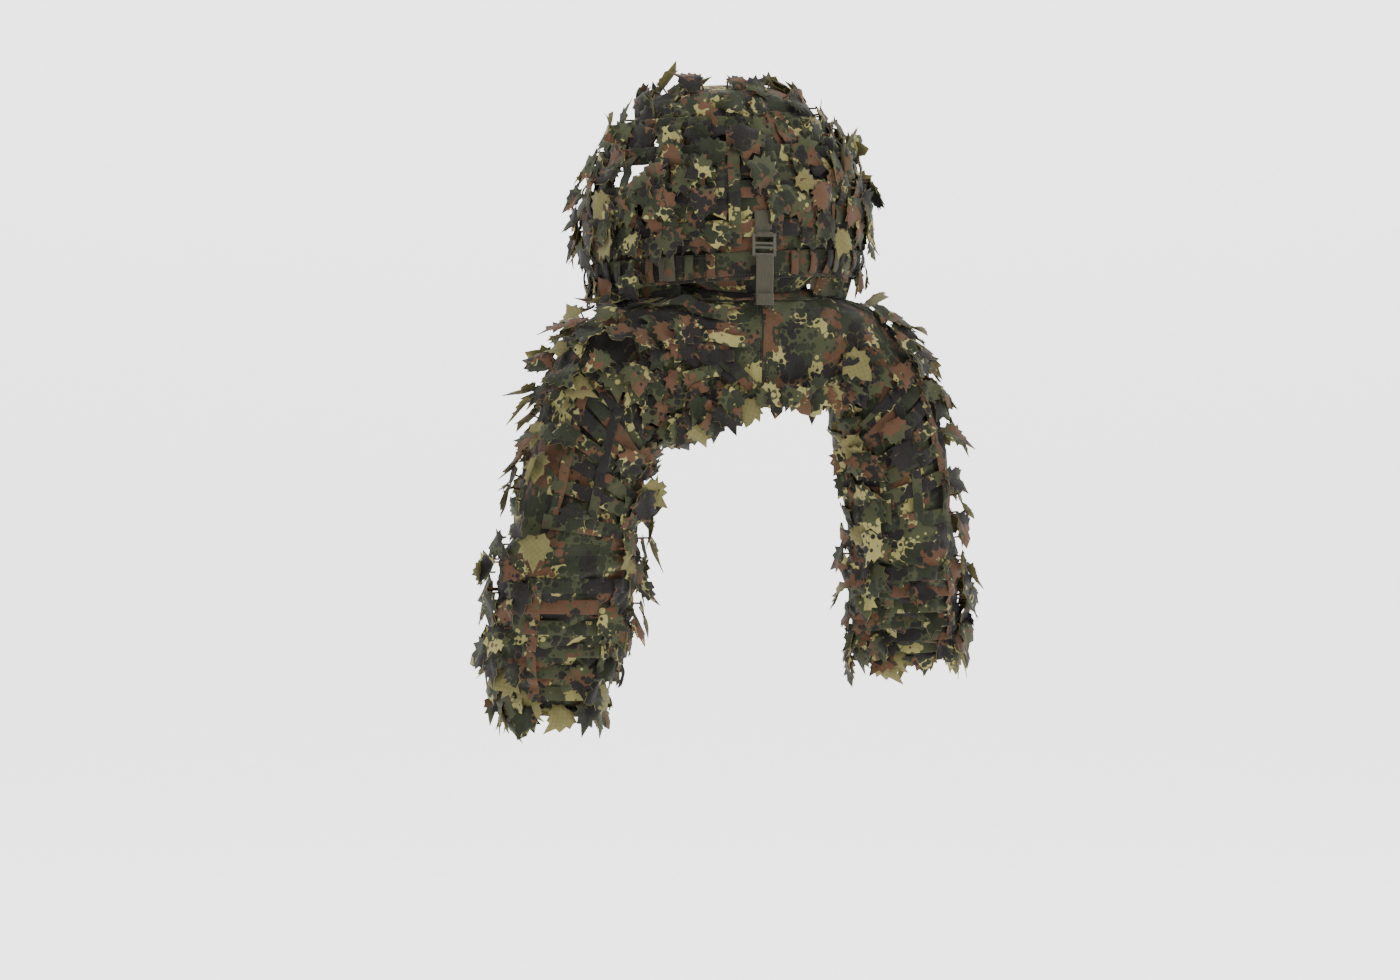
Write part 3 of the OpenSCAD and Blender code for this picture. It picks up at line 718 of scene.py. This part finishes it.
def leaf_parts(fn, u_range, v_range, counts, seed, size=(0.042, 0.062), tilt=(8, 55),
               swing=55, pale=0.2, lift=0.006, skip=None, up=None):
    """Leaves over a surface fn(u, v, off) in a jittered grid, hanging from their stalks, each
    with the point that it is sewn at."""
    rng = random.Random(seed)
    parts = []
    for i in range(counts[0]):
        for j in range(counts[1]):
            u = u_range[0] + (u_range[1] - u_range[0]) * (i + rng.uniform(0.1, 0.9)) / counts[0]
            v = v_range[0] + (v_range[1] - v_range[0]) * (j + rng.uniform(0.1, 0.9)) / counts[1]
            if skip is not None and skip(u, v, rng):
                continue
            p = fn(u, v, lift)
            out = unit(fn(u, v, lift + 0.001) - p)
            down = np.array([0.0, 0.0, -1.0]) if up is None else up(p, out)
            down = down - out * (down @ out)
            if np.linalg.norm(down) < 0.1:
                down = np.array([rng.uniform(-1, 1), rng.uniform(-1, 1), 0.0])
                down = down - out * (down @ out)
            down = unit(down)
            side = np.cross(down, out)
            a = math.radians(rng.gauss(0, swing))
            tip = down * math.cos(a) + side * math.sin(a)
            b = math.radians(rng.uniform(*tilt))
            face = out * math.cos(b) - tip * math.sin(b)
            tip = tip * math.cos(b) + out * math.sin(b)
            length = rng.uniform(*size)
            start = p - tip * length * rng.uniform(0.1, 0.4)
            start = start + out * max(0.0, 0.006 - (start - p) @ out)
            parts.append((p, leaf_mesh(rng, start, tip, face, length, rng.uniform(-1.0, 0.5),
                                       rng.random() < pale)))
            drop = (start - p) @ out + lift + 0.002
            tack = start + tip * 0.002 - out * np.linspace(0, drop, 3)[:, None]
            parts.append((p, tube(tack, 0.0013)))
    return parts


def scatter(name, *place, **look):
    parts = [part for _, part in leaf_parts(*place, **look)]
    return join_parts(name, parts, LEAF_MATS)


def grid(a0, a1, na, b0, b1, nb):
    """Two grids of parameters: the first varies along columns, the second along rows."""
    return np.meshgrid(np.linspace(a0, a1, na), np.linspace(b0, b1, nb))


# -------- camera first
PHOTO_AZ = 164.0
AIM = Vector((0.054, -0.015, -0.266))
DISTANCE = 4.6
SEEN_WIDTH = 1.961
camera = add_object("camera", bpy.data.cameras.new("camera"))
bpy.context.scene.camera = camera
camera.data.lens = camera.data.sensor_width * DISTANCE / SEEN_WIDTH
camera.data.clip_end = 60
az = math.radians(PHOTO_AZ)
camera.location = AIM + DISTANCE * Vector((math.sin(az), -math.cos(az), 0.0))
camera.rotation_euler = (AIM - camera.location).to_track_quat("-Z", "Y").to_euler()


# -------- hood
# Where the hood's net is cut away between its tapes: middle angle and height, half sizes.
HOLES = [(61, 0.54, 13, 0.08), (80, 0.67, 9, 0.06), (47, 0.69, 7, 0.045), (84, 0.37, 10, 0.07),
         (110, 0.56, 13, 0.14), (-44, 0.71, 8, 0.045), (-66, 0.50, 10, 0.07)]


def hood_hole(phi, t):
    return np.any([((phi - a) / w) ** 2 + ((t - b) / h) ** 2 < 1 for a, b, w, h in HOLES], axis=0)


def hood_panel(name, phi0, phi1, cols, shift, *nodes):
    phi, t = grid(phi0, phi1, cols, 0.0, CROWN_T, 70)
    p = hood_pt(phi, t)
    mid_phi, mid_t = (phi[1:, 1:] + phi[:-1, :-1]) / 2, (t[1:, 1:] + t[:-1, :-1]) / 2
    o = cloth(name, settle(p, flip=True), HOOD_T, SHELL_MATS, flip=True,
              keep=~hood_hole(mid_phi, mid_t), uv_shift=shift)
    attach(o, "hood")
    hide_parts(*nodes)
    return declare(o, p)


hood_panel("hood_rear_cloth", -REAR_SEAM, REAR_SEAM, 60, (0, 0), "hood_rear_panel")
hood_panel("hood_left_cloth", REAR_SEAM, FACE_A, 70, (3, 1), "hood_left_panel")
hood_panel("hood_right_cloth", -FACE_A, -REAR_SEAM, 70, (6, 2), "hood_right_panel")

phi, rise = grid(0, 357, 120, -2, 88, 36)
crown = cloth("hood_crown_cloth", crown_pt(phi, rise), HOOD_T, SHELL_MATS, flip=True,
              wrap=True, uv_shift=(9, 3))
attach(crown, "hood")
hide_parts("hood_crown")
declare(crown, crown_pt(phi, rise))

cross = [tape(hood_pt, -118, t, 118, t, 150, 0.0022, 0.024, 0.005, 22, (row * 0.7, 2.0))
         for row, t in enumerate(TAPE_ROWS)]
tapes = join_parts("hood_cross_tape_cloth", cross, [LADDER])
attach(tapes, "hood")
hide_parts("hood_cross_tapes")

rng = random.Random(3)
upright = []
for k, phi in enumerate((-112, -92, -74, -58, -40, -22, -8, 9, 24, 41, 58, 72, 88, 106)):
    tilt = rng.uniform(-4, 4)
    upright.append(tape(hood_pt, phi, 0.15, phi + tilt, 0.80, 60, 0.0045,
                        rng.uniform(0.016, 0.024), 0.006, 7, (k * 0.37, 5.0)))
tapes = join_parts("hood_upright_tape_cloth", upright, [LADDER])
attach(tapes, "hood")
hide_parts("hood_upright_tapes")

# The neck band, its narrow ladder loops and the turned lower edge.
phi, t = grid(-FACE_A, FACE_A, 200, 0.005, 0.125, 10)
band = cloth("hood_neck_band_cloth", hood_pt(phi, t, 0.0024 + 0.0012 * np.sin(phi / 2.3)),
             SHELL_T, TRIM_MATS, flip=True, uv_shift=(12, 4))
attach(band, "hood")
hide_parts("hood_neck_band")
loops = [tape(hood_pt, phi, 0.006, phi, 0.122, 14, 0.0052, 0.012, 0.004, 1, (phi * 0.01, 7.0))
         for phi in range(-116, 117, 9) if abs(phi) > 12]
o = join_parts("hood_band_loops", loops, [CAMO_TRIM])
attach(o, "hood")

up_t = np.linspace(0.0, CROWN_T, 60)
brow = np.linspace(FACE_A, 360 - FACE_A, 70)
line = np.concatenate([hood_pt(np.full(60, FACE_A), up_t, 0.001),
                       crown_pt(brow[1:-1], np.zeros(68), 0.001),
                       hood_pt(np.full(60, -FACE_A), up_t[::-1], 0.001)])
hem = join_parts("hood_face_hem_roll", [tube(line, 0.0042)], [CAMO_TRIM])
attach(hem, "hood")
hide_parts("hood_face_hem")
line = hood_pt(np.linspace(-FACE_A, FACE_A, 160), np.full(160, 0.002), 0.0012)
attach(join_parts("hood_lower_hem_roll", [tube(line, 0.003)], [CAMO_TRIM]), "hood")


# -------- hood leaves
def off_net(u, v, rng):
    return bool(hood_hole(u, v) or hood_hole(u, v - 0.08)) and rng.random() < 0.92


def near_lock(u, v):
    return abs(u) < 15 and v < 0.34


def hood_skip(u, v, rng):
    return near_lock(u, v) or off_net(u, v, rng) or (v < 0.16 and rng.random() < 0.35)


groups = [
    ("hood_rear_leaf_set", (-40, 40), (0.18, 0.86), (5, 5), 11, "hood_rear_leaves"),
    ("hood_left_leaf_set", (38, 117), (0.14, 0.84), (9, 7), 12, "hood_left_leaves"),
    ("hood_right_leaf_set", (-124, -38), (0.14, 0.84), (8, 6), 13, "hood_right_leaves"),
]
for name, us, vs, counts, seed, node in groups:
    o = scatter(name, hood_pt, us, vs, counts, seed, skip=hood_skip, lift=0.008,
                size=(0.040, 0.058), tilt=(-4, 24), pale=0.08)
    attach(o, "hood")
    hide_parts(node)


# Strips of cloth that hang from the cross tapes, each cut from its own place in the print.
rng = random.Random(18)
strips = []
for t in TAPE_ROWS + (0.85,):
    phi = -120.0
    while phi < 116:
        wide = rng.uniform(9, 17)
        long, lean = rng.uniform(0.10, 0.20), rng.uniform(-2.5, 2.5)
        flare, uv0 = rng.uniform(0.0005, 0.0055), (rng.uniform(0, 9), rng.uniform(0, 9))
        low_t = max(t - long, 0.135)
        if rng.random() < 0.8 and not (hood_hole(phi + wide / 2, t - long / 2)
                                       or near_lock(phi + wide / 2, low_t)):
            a, b = grid(phi, phi + wide, 7, 0.0, 1.0, 6)
            ragged = np.where(b == 1, 0.018 * np.sin(a * 1.9 + phi), 0)
            p = hood_pt(a + lean * b, t + (low_t - t) * b + ragged,
                        0.0044 + flare * b ** 1.5 + 0.0009 * np.sin(a * 0.8 + phi))
            strips.append(cloth_part(p, STRIP_T, uv_shift=uv0))
        phi += wide * rng.uniform(0.75, 1.1)
o = join_parts("hood_hanging_strips", strips, LEAF_MATS)
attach(o, "hood")


def crown_up(p, out):
    return np.array([p[0] - HOOD_X0, p[1] - HOOD_Y0, 0.02])


o = scatter("hood_crown_leaf_set", crown_pt, (0, 360), (4, 62), (11, 3), 14, up=crown_up,
            tilt=(-14, 26), swing=70, lift=0.004, size=(0.036, 0.050), pale=0.1)
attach(o, "hood")
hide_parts("hood_crown_leaves")

# Leaves that stand off the sides, and those that hang over the hem.
for name, us, vs, counts, seed, tilt in (
        ("hood_left_edge_leaf_set", (62, 112), (0.2, 0.84), (2, 5), 21, (20, 52)),
        ("hood_right_edge_leaf_set", (-112, -62), (0.2, 0.84), (2, 5), 22, (20, 52)),
        ("hood_left_hem_leaf_set", (44, 120), (-0.03, 0.05), (7, 1), 23, (-8, 12)),
        ("hood_right_hem_leaf_set", (-120, -44), (-0.03, 0.05), (7, 1), 24, (-8, 12))):
    o = scatter(name, hood_pt, us, vs, counts, seed, size=(0.036, 0.050), tilt=tilt,
                swing=38, pale=0.14)
    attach(o, "hood")

# The flap inside each side of the hood's hem, which lies on the shoulder.
for hand in (1, -1):
    phi, drop = grid(34 * hand, 119 * hand, 90, 0.0, 1.0, 12)
    top = hood_pt(phi, 0.04, -0.004)
    x, y = 0.93 * top[..., 0], HOOD_Y0 + 0.93 * (top[..., 1] - HOOD_Y0)
    side = np.where(y > SEAM_Y, 1, -1)
    reach = np.abs(y - SEAM_Y) / np.where(side > 0, yoke_r(x, 1), yoke_r(x, -1))
    low_z = yoke_top(x) - ROUND_H * (1 - np.sqrt(np.clip(1 - reach ** 2, 0.05, 1))) + 0.001
    foot = np.stack([x, y, low_z], -1)
    gather = 0.0022 * np.sin(rad(phi) * 26) * np.sin(np.pi * drop)
    p = top + (foot - top) * drop[..., None]
    p[..., :2] *= (1 + gather / 0.18)[..., None]
    o = cloth("hood_%s_hem_flap" % SIDE_NAME[hand], p, HOOD_T, TRIM_MATS,
              flip=hand < 0, uv_shift=(33, hand))
    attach(o, "hood")
    declare(o, p)

# The gusset that joins the hood's rear hem to the yoke behind the collar.
phi, rise = grid(-38, 38, 60, 0.0, 1.0, 14)
foot = np.stack([(COLLAR[0] + 0.006) * np.sin(rad(phi)),
                 SEAM_Y + (COLLAR[1] + 0.008) * np.cos(rad(phi)), np.zeros_like(phi)], -1)
reach = (foot[..., 1] - SEAM_Y) / yoke_r(foot[..., 0], 1)
foot[..., 2] = yoke_top(foot[..., 0]) - ROUND_H * (1 - np.sqrt(1 - reach ** 2)) + 0.002
p = foot + (hood_pt(phi, 0.03, -0.003) - foot) * rise[..., None]
p[..., 2] += 0.003 * np.sin(np.pi * rise) + 0.0015 * np.sin(rad(phi) * 22) * np.sin(np.pi * rise)
o = cloth("hood_rear_gusset", p, HOOD_T, TRIM_MATS, flip=True,
          uv_shift=(36, 0))
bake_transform(o)
declare(o, p)

# Stitching along the neck band, the centre panel's seams and the webbing tabs.
rows = [stitch_row(hood_pt, -118, t, 118, t, 0.0052, 200) for t in (0.016, 0.118)]
rows += [stitch_row(hood_pt, phi, 0.13, phi, CROWN_T, 0.0016) for phi in (-REAR_SEAM, REAR_SEAM)]
for phi in TAB_PHI.values():
    rows += [stitch_row(hood_pt, phi - 3.2, t, phi + 3.2, t, 0.0088, 12) for t in (0.018, 0.11)]
o = join_parts("hood_stitching", rows, [THREAD], smooth=False)
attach(o, "hood")


# -------- yoke
for hand in (1, -1):
    for side, part in ((1, "back"), (-1, "front")):
        f, q = grid(0.0, 1.0, 70, 0.0, 2.0, 80)
        p = yoke_pt(hand, side, f, q)
        name = "yoke_%s_%s" % (part, SIDE_NAME[hand])
        facing = hand * side < 0
        o = cloth(name + "_cloth", settle(p, flip=facing), SHELL_T, SHELL_MATS,
                  flip=facing, uv_shift=(hand * 4 + 20, side * 5))
        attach(o, "yoke")
        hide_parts(name)
        declare(o, p)


def yoke_rear(f, q, off=0.0):
    """The rear of the yoke as one surface: f from -1 at the right armhole to 1 at the left."""
    f, q, off = np.broadcast_arrays(np.asarray(f, float), np.asarray(q, float), off)
    left = yoke_pt(1, 1, np.clip(f, 0, 1), q, off)
    right = yoke_pt(-1, 1, np.clip(-f, 0, 1), q, off)
    return np.where((f >= 0)[..., None], left, right)


hem_parts = [tape(yoke_rear, -0.99, 1.95, -0.005, 1.95, 60, 0.0015, 0.014, 0.0, 1, (0, 1)),
             tape(yoke_rear, 0.005, 1.95, 0.99, 1.95, 60, 0.0015, 0.014, 0.0, 1, (1, 1))]
o = join_parts("yoke_hem_tape", hem_parts, [CAMO_TRIM])
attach(o, "yoke")
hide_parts("yoke_hem_binding")

# A diagonal ladder of tapes on the wearer's left.
rungs = [tape(yoke_rear, 0.10 + 0.15 * k, 1.74 - 0.13 * k, 0.50 + 0.13 * k, 1.10 - 0.16 * k,
              40, 0.0022, 0.018, 0.004, 4, (k * 0.5, 3)) for k in range(4)]
rungs += [tape(yoke_rear, 0.14 + 0.12 * k, 1.20 + 0.12 * k, 0.60 + 0.10 * k, 1.00 + 0.20 * k,
               40, 0.0045, 0.016, 0.004, 4, (k * 0.5, 6)) for k in range(4)]
rungs.append(tape(yoke_rear, 0.28, 0.70, 0.95, 0.42, 40, 0.0022, 0.022, 0.002, 3, (2, 6)))
o = join_parts("yoke_ladder_cloth", rungs, [LADDER])
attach(o, "yoke")
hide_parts("yoke_ladder_tapes")


def hem_skip(u, v, rng):
    return v < 1.86 and (u < 0.15 or rng.random() < 0.3)


# Raised seams of the shoulder panels, the centre seam, and the stitches beside them.
SEAMS = [(0.05, 0.30, 0.95, 0.46), (-0.05, 0.26, -0.95, 0.36), (0.16, 0.52, 0.50, 0.74)]
ridges = [tube(yoke_rear(np.linspace(f0, f1, n), np.linspace(q0, q1, n), 0.0008), 0.0016)
          for f0, q0, f1, q1, n in [seam + (60,) for seam in SEAMS]
          + [(0.004, 0.02, 0.004, 1.96, 70)]]
o = join_parts("yoke_raised_seams", ridges, [CAMO_TRIM])
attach(o, "yoke")
rows = [stitch_row(yoke_rear, f0, q0 + 0.035, f1, q1 + 0.035, 0.0016) for f0, q0, f1, q1 in SEAMS]
rows += [stitch_row(yoke_rear, f, 0.05, f, 1.93, 0.0016) for f in (-0.03, 0.035)]
rows += [stitch_row(yoke_rear, -0.98, q, 0.98, q, 0.0026, 120) for q in (1.915, 1.985)]
rows += [stitch_row(yoke_rear, f, 0.1, f, 1.95, 0.0016) for f in (-0.965, 0.965)]
o = join_parts("yoke_stitching", rows, [THREAD], smooth=False)
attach(o, "yoke")

for name, us, counts, seed in (("yoke_left_leaf_set", (0.58, 0.98), (4, 5), 33),
                               ("yoke_right_leaf_set", (-0.98, -0.80), (2, 5), 34)):
    o = scatter(name, yoke_rear, us, (0.80, 1.9), counts, seed, size=(0.038, 0.054),
                tilt=(-4, 18), swing=45, pale=0.05)
    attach(o, "yoke")

o = scatter("yoke_hem_leaf_set", yoke_rear, (-0.98, 0.98), (1.74, 1.99), (17, 2), 31,
            size=(0.038, 0.058), tilt=(-6, 18), swing=34, lift=0.004, pale=0.12, skip=hem_skip)
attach(o, "yoke")
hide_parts("yoke_back_leaves")

# The stand-up collar.
ring, z = grid(0, 357, 120, 0.002, COLLAR[2], 14)
lean = 0.12 * z
fold = 0.002 * np.sin(rad(ring) * 9) + 0.0012 * np.sin(rad(ring) * 23 + z * 90)
p = np.stack([(COLLAR[0] - lean - 0.002 + fold) * np.sin(rad(ring)),
              SEAM_Y + (COLLAR[1] - lean - 0.002 + fold) * np.cos(rad(ring)), z], -1)
o = cloth("neck_collar_cloth", p, BAND_T, TRIM_MATS, flip=True, wrap=True,
          uv_shift=(30, 0))
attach(o, "yoke")
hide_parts("neck_collar")
declare(o, p)


# -------- sleeves
SHOULDER_BAND = 0.028
LEAF_GROUPS = 16        # groups into which the leaves beside a shoulder are sorted


def sewn_leaves(name, parts, upper, start, along, replaced):
    """Leaves beside a shoulder, in groups by how far along it they lie, so that no leaf is
    stretched: the first group rides on the yoke, the last on the upper arm, the rest stay put.
    """
    groups = [[] for _ in range(LEAF_GROUPS + 1)]
    for p, part in parts:
        share = float((p - np.array(start)) @ np.array(along)) / SHOULDER_BAND
        groups[min(LEAF_GROUPS, max(0, round(share * LEAF_GROUPS)))].append(part)
    for k, group in enumerate(groups):
        if not group:
            continue
        last = k == LEAF_GROUPS
        o = join_parts(name if last else "%s_%d" % (name, k), group, LEAF_MATS)
        share = k / LEAF_GROUPS
        if last:
            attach(o, upper)
            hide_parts(replaced)
        else:
            if k:
                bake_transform(o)
            else:
                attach(o, "yoke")


for hand in (1, -1):
    name = SIDE_NAME[hand]
    upper, fore = name + "_upper_arm", name + "_forearm"

    on_arm = partial(sleeve_pt, hand)

    def around(a, v, off=0.0, hand=hand):
        return sleeve_pt(hand, v, a, off)

    st = np.array(STATIONS[hand][0], float) / 1000
    seam = np.array([st[0] + st[2], 0, st[1] + st[3]]) / 2
    lean = unit(np.array([-(st[3] - st[1]), 0, -(st[0] - st[2])]))
    start = Vector((hand * seam[0], seam[1], seam[2]))
    along = Vector((hand * lean[0], 0, lean[2]))

    a, v = grid(-178, 179, 120, 0.0, 3.35, 70)
    p = sleeve_pt(hand, v, a)
    top = cloth(name + "_sleeve_top_cloth", settle(p, True, hand > 0), SHELL_T,
                SHELL_MATS, flip=hand > 0, wrap=True, uv_shift=(40 + 5 * hand, 0))
    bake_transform(top)
    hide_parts(name + "_upper_sleeve")
    declare(top, p)

    a, v = grid(-178, 179, 120, 3.30, CUFF, 130)
    crease = 0.004 * np.exp(-((v - ELBOW) / 0.8) ** 2) * np.sin(9 * v + rad(a) * 2)
    crease += 0.0016 * np.sin(5 * v + 3 * np.sin(rad(a)))
    p = sleeve_pt(hand, v, a, crease - 0.0012)
    low = cloth(name + "_sleeve_low_cloth", settle(p, True, hand > 0), SHELL_T,
                SHELL_MATS, flip=hand > 0, wrap=True, uv_shift=(40 + 5 * hand, 0.3))
    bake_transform(low)
    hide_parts(name + "_forearm_sleeve")
    declare(low, p)

    a, v = grid(-178, 179, 120, 9.3, CUFF, 8)
    p = sleeve_pt(hand, v, a, 0.003)
    cuff = cloth(name + "_cuff_cloth", p, BAND_T, TRIM_MATS, flip=hand > 0,
                 wrap=True, uv_shift=(50, 2))
    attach(cuff, fore)
    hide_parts(name + "_cuff_band")
    declare(cuff, p)

    def ladder(v0, v1, rungs, rails):
        parts = [tape(on_arm, v, 48, v, 132, 36, 0.0022, 0.020, 0.004, 4, (v, 1)) for v in rungs]
        return parts + [tape(on_arm, v0, a, v1, a, 60, 0.0048, 0.014, 0.003, 6, (a * 0.01, 4))
                        for a in rails]

    o = join_parts(name + "_upper_ladder",
                   ladder(1.5, 4.6, np.arange(1.7, 4.6, 0.48), (58, 90, 122)), [LADDER])
    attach(o, upper)
    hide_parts(name + "_upper_tapes")
    o = join_parts(name + "_forearm_ladder",
                   ladder(5.7, 9.1, np.arange(5.9, 9.0, 0.56), (58, 122)), [LADDER])
    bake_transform(o)
    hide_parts(name + "_forearm_tapes")

    def ladder_skip(a, v, rng):
        return 56 < a < 126 and rng.random() < 0.78

    parts = leaf_parts(around, (-60, 172), (0.3, 4.5), (11, 8), 40 + hand,
                       skip=ladder_skip, size=(0.040, 0.056), tilt=(-4, 32), pale=0.10)
    sewn_leaves(name + "_upper_leaf_set", parts, upper, start, along, name + "_upper_leaves")
    o = scatter(name + "_forearm_leaf_set", around, (-70, 186), (4.5, 9.6), (11, 8),
                50 + hand, skip=ladder_skip, size=(0.040, 0.058), tilt=(-4, 32),
                pale=0.13)
    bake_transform(o)
    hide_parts(name + "_forearm_leaves")

    # Leaves that hang over the cuff, and the rows of stitches on it.
    o = scatter(name + "_cuff_leaf_set", around, (-80, 215), (9.3, 9.95), (10, 1),
                60 + hand, lift=0.007, size=(0.040, 0.054), tilt=(-6, 14), swing=26, pale=0.25)
    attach(o, fore)
    rows = [stitches(on_arm, np.full(200, v), np.linspace(-176, 176, 200), 0.0044)
            for v in (9.42, 9.92)]
    o = join_parts(name + "_cuff_stitching", rows, [THREAD], smooth=False)
    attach(o, fore)


# -------- webbing
def straight_web(p0, p1, out, n=24):
    p0, p1, out = (np.array(x, float) for x in (p0, p1, out))
    centre = p0 + (p1 - p0) * np.linspace(0, 1, n)[:, None]
    across = np.repeat(np.cross(p1 - p0, out)[None], n, 0)
    return strip(centre, across, np.repeat(out[None], n, 0), WEB_W, WEB_T)


def upright_web(line):
    """Webbing along a line that stays in one upright plane, with its width across."""
    side = np.repeat([[1.0, 0, 0]], len(line), 0)
    return strip(line, side, np.cross(np.gradient(line, axis=0), side), WEB_W, WEB_T)


for node, phi in TAB_PHI.items():
    s = np.linspace(0.008, 0.122, 20)
    p, across, out = surface_line(hood_pt, np.full(20, float(phi)), s, 0.0072)
    o = join_parts(node + "_web", [strip(p, across, out, 0.024, 0.0022)], [WEBBING])
    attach(o, "hood")
    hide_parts(node)

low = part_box("rear_strap_tail")[0]
lock_low, lock_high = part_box("rear_ladder_lock")
bar_z = lock_low.z + 0.002
bar_y = (lock_low.y + lock_high.y) / 2
loop = np.stack([np.zeros(14), bar_y - WRAP_R * np.cos(np.linspace(0.0, math.pi, 14)),
                 bar_z - WRAP_R * np.sin(np.linspace(0.0, math.pi, 14))], -1)
drop = np.linspace(0, 1, 30)[:, None]
tail_top = np.array([0, bar_y + WRAP_R, bar_z])
tail_end = np.array([0, bar_y + 0.0038, low.z + 0.0006])
hang = tail_top + (tail_end - tail_top) * drop
hang[:, 1] += 0.0012 * np.sin(np.pi * drop[:, 0] * 2)
line = np.concatenate([loop[:-1], hang])
fold = np.array([[0, bar_y + 0.0056, low.z + 0.0008 + 0.016 * k / 9] for k in range(10)])
parts = [upright_web(line), strip(fold, np.repeat([[1.0, 0, 0]], 10, 0),
                                  np.repeat([[0, 1.0, 0]], 10, 0), 0.0246, WEB_T)]
o = join_parts("rear_strap_tail_web", parts, [WEBBING])
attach(o, "tail")
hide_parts("rear_strap_tail")

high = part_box("adjuster_anchor_tab")[1]
pin = np.array([0, bar_y, lock_high.z - 0.002])
turn = np.linspace(-0.2 * math.pi, 1.0 * math.pi, 18)
loop = np.stack([np.zeros(18), pin[1] + WRAP_R * np.cos(turn), pin[2] + WRAP_R * np.sin(turn)], -1)
lead = np.linspace(0, 1, 16)[:, None]
web_foot = np.array([0, pin[1] - WRAP_R, pin[2]])
web_head = np.array([0, pin[1] - 0.0036, high.z])
line = np.concatenate([loop, web_foot + (web_head - web_foot) * lead[1:]])
o = join_parts("adjuster_anchor_web", [upright_web(line)], [WEBBING])
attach(o, "hood")
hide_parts("adjuster_anchor_tab")

for node in ("chest_strap_left", "chest_strap_right"):
    low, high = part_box(node)
    y, z = (low.y + high.y) / 2, (low.z + high.z) / 2
    web = straight_web((low.x, y, z), (high.x, y, z), (0, -1, 0))
    o = join_parts(node + "_web", [web], [WEBBING])
    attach(o, "yoke")
    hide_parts(node)

for node in ("rear_ladder_lock", "buckle_socket", "buckle_plug", "buckle_prong_upper",
             "buckle_prong_lower", "chest_strap_slider"):
    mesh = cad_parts[node].data
    mesh.materials.clear()
    mesh.materials.append(BUCKLE)


# -------- studio
FLOOR_Z = -1.35
FLOOR_GLOW = 1.6
SWEEP_START, SWEEP_R = -4.0, 2.5    # where the floor starts to turn up, and its radius there
FLOOR_FRONT, FLOOR_HALF, BACKDROP_H = 30.0, 30, 14.0


floor_white, g, bsdf = new_material("floor_white")
feed(g, bsdf, {"Base Color": (0.92, 0.92, 0.92, 1), "Roughness": 0.9,
               "Emission Color": (1, 1, 1, 1), "Emission Strength": FLOOR_GLOW})
profile = [(FLOOR_FRONT, 0.0)]
profile += [(SWEEP_START - SWEEP_R * math.sin(t), SWEEP_R - SWEEP_R * math.cos(t))
            for t in np.linspace(0, math.pi / 2, 16)]
profile += [(SWEEP_START - SWEEP_R, BACKDROP_H)]
toward = Vector((math.sin(az), -math.cos(az), 0))
aside = Vector((math.cos(az), math.sin(az), 0))
verts = [tuple(toward * d + aside * s + Vector((0, 0, FLOOR_Z + h)))
         for d, h in profile for s in (-FLOOR_HALF, FLOOR_HALF)]
faces = [[2 * i, 2 * i + 1, 2 * i + 3, 2 * i + 2] for i in range(len(profile) - 1)]
floor = build("floor", verts, faces, [floor_white])
floor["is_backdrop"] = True

world = bpy.data.worlds.new("studio")
bpy.context.scene.world = world
world.use_nodes = True
background = world.node_tree.nodes["Background"]
feed(world.node_tree, background, {"Color": (1, 1, 1, 1), "Strength": 0.75})


def area_light(name, azimuth, elevation, distance, size, power):
    data = bpy.data.lights.new(name, "AREA")
    data.shape = "SQUARE"
    data.size = size
    data.energy = power
    o = add_object(name, data)
    a, e = math.radians(azimuth), math.radians(elevation)
    back = Vector((math.sin(a) * math.cos(e), -math.cos(a) * math.cos(e), math.sin(e)))
    o.location = AIM + distance * back
    o.rotation_euler = (-back).to_track_quat("-Z", "Y").to_euler()


area_light("key", PHOTO_AZ + 38, 42, 3.2, 1.6, 70)
area_light("fill", PHOTO_AZ - 50, 25, 3.6, 2.2, 38)
area_light("top", PHOTO_AZ, 80, 2.6, 1.8, 40)

low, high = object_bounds()
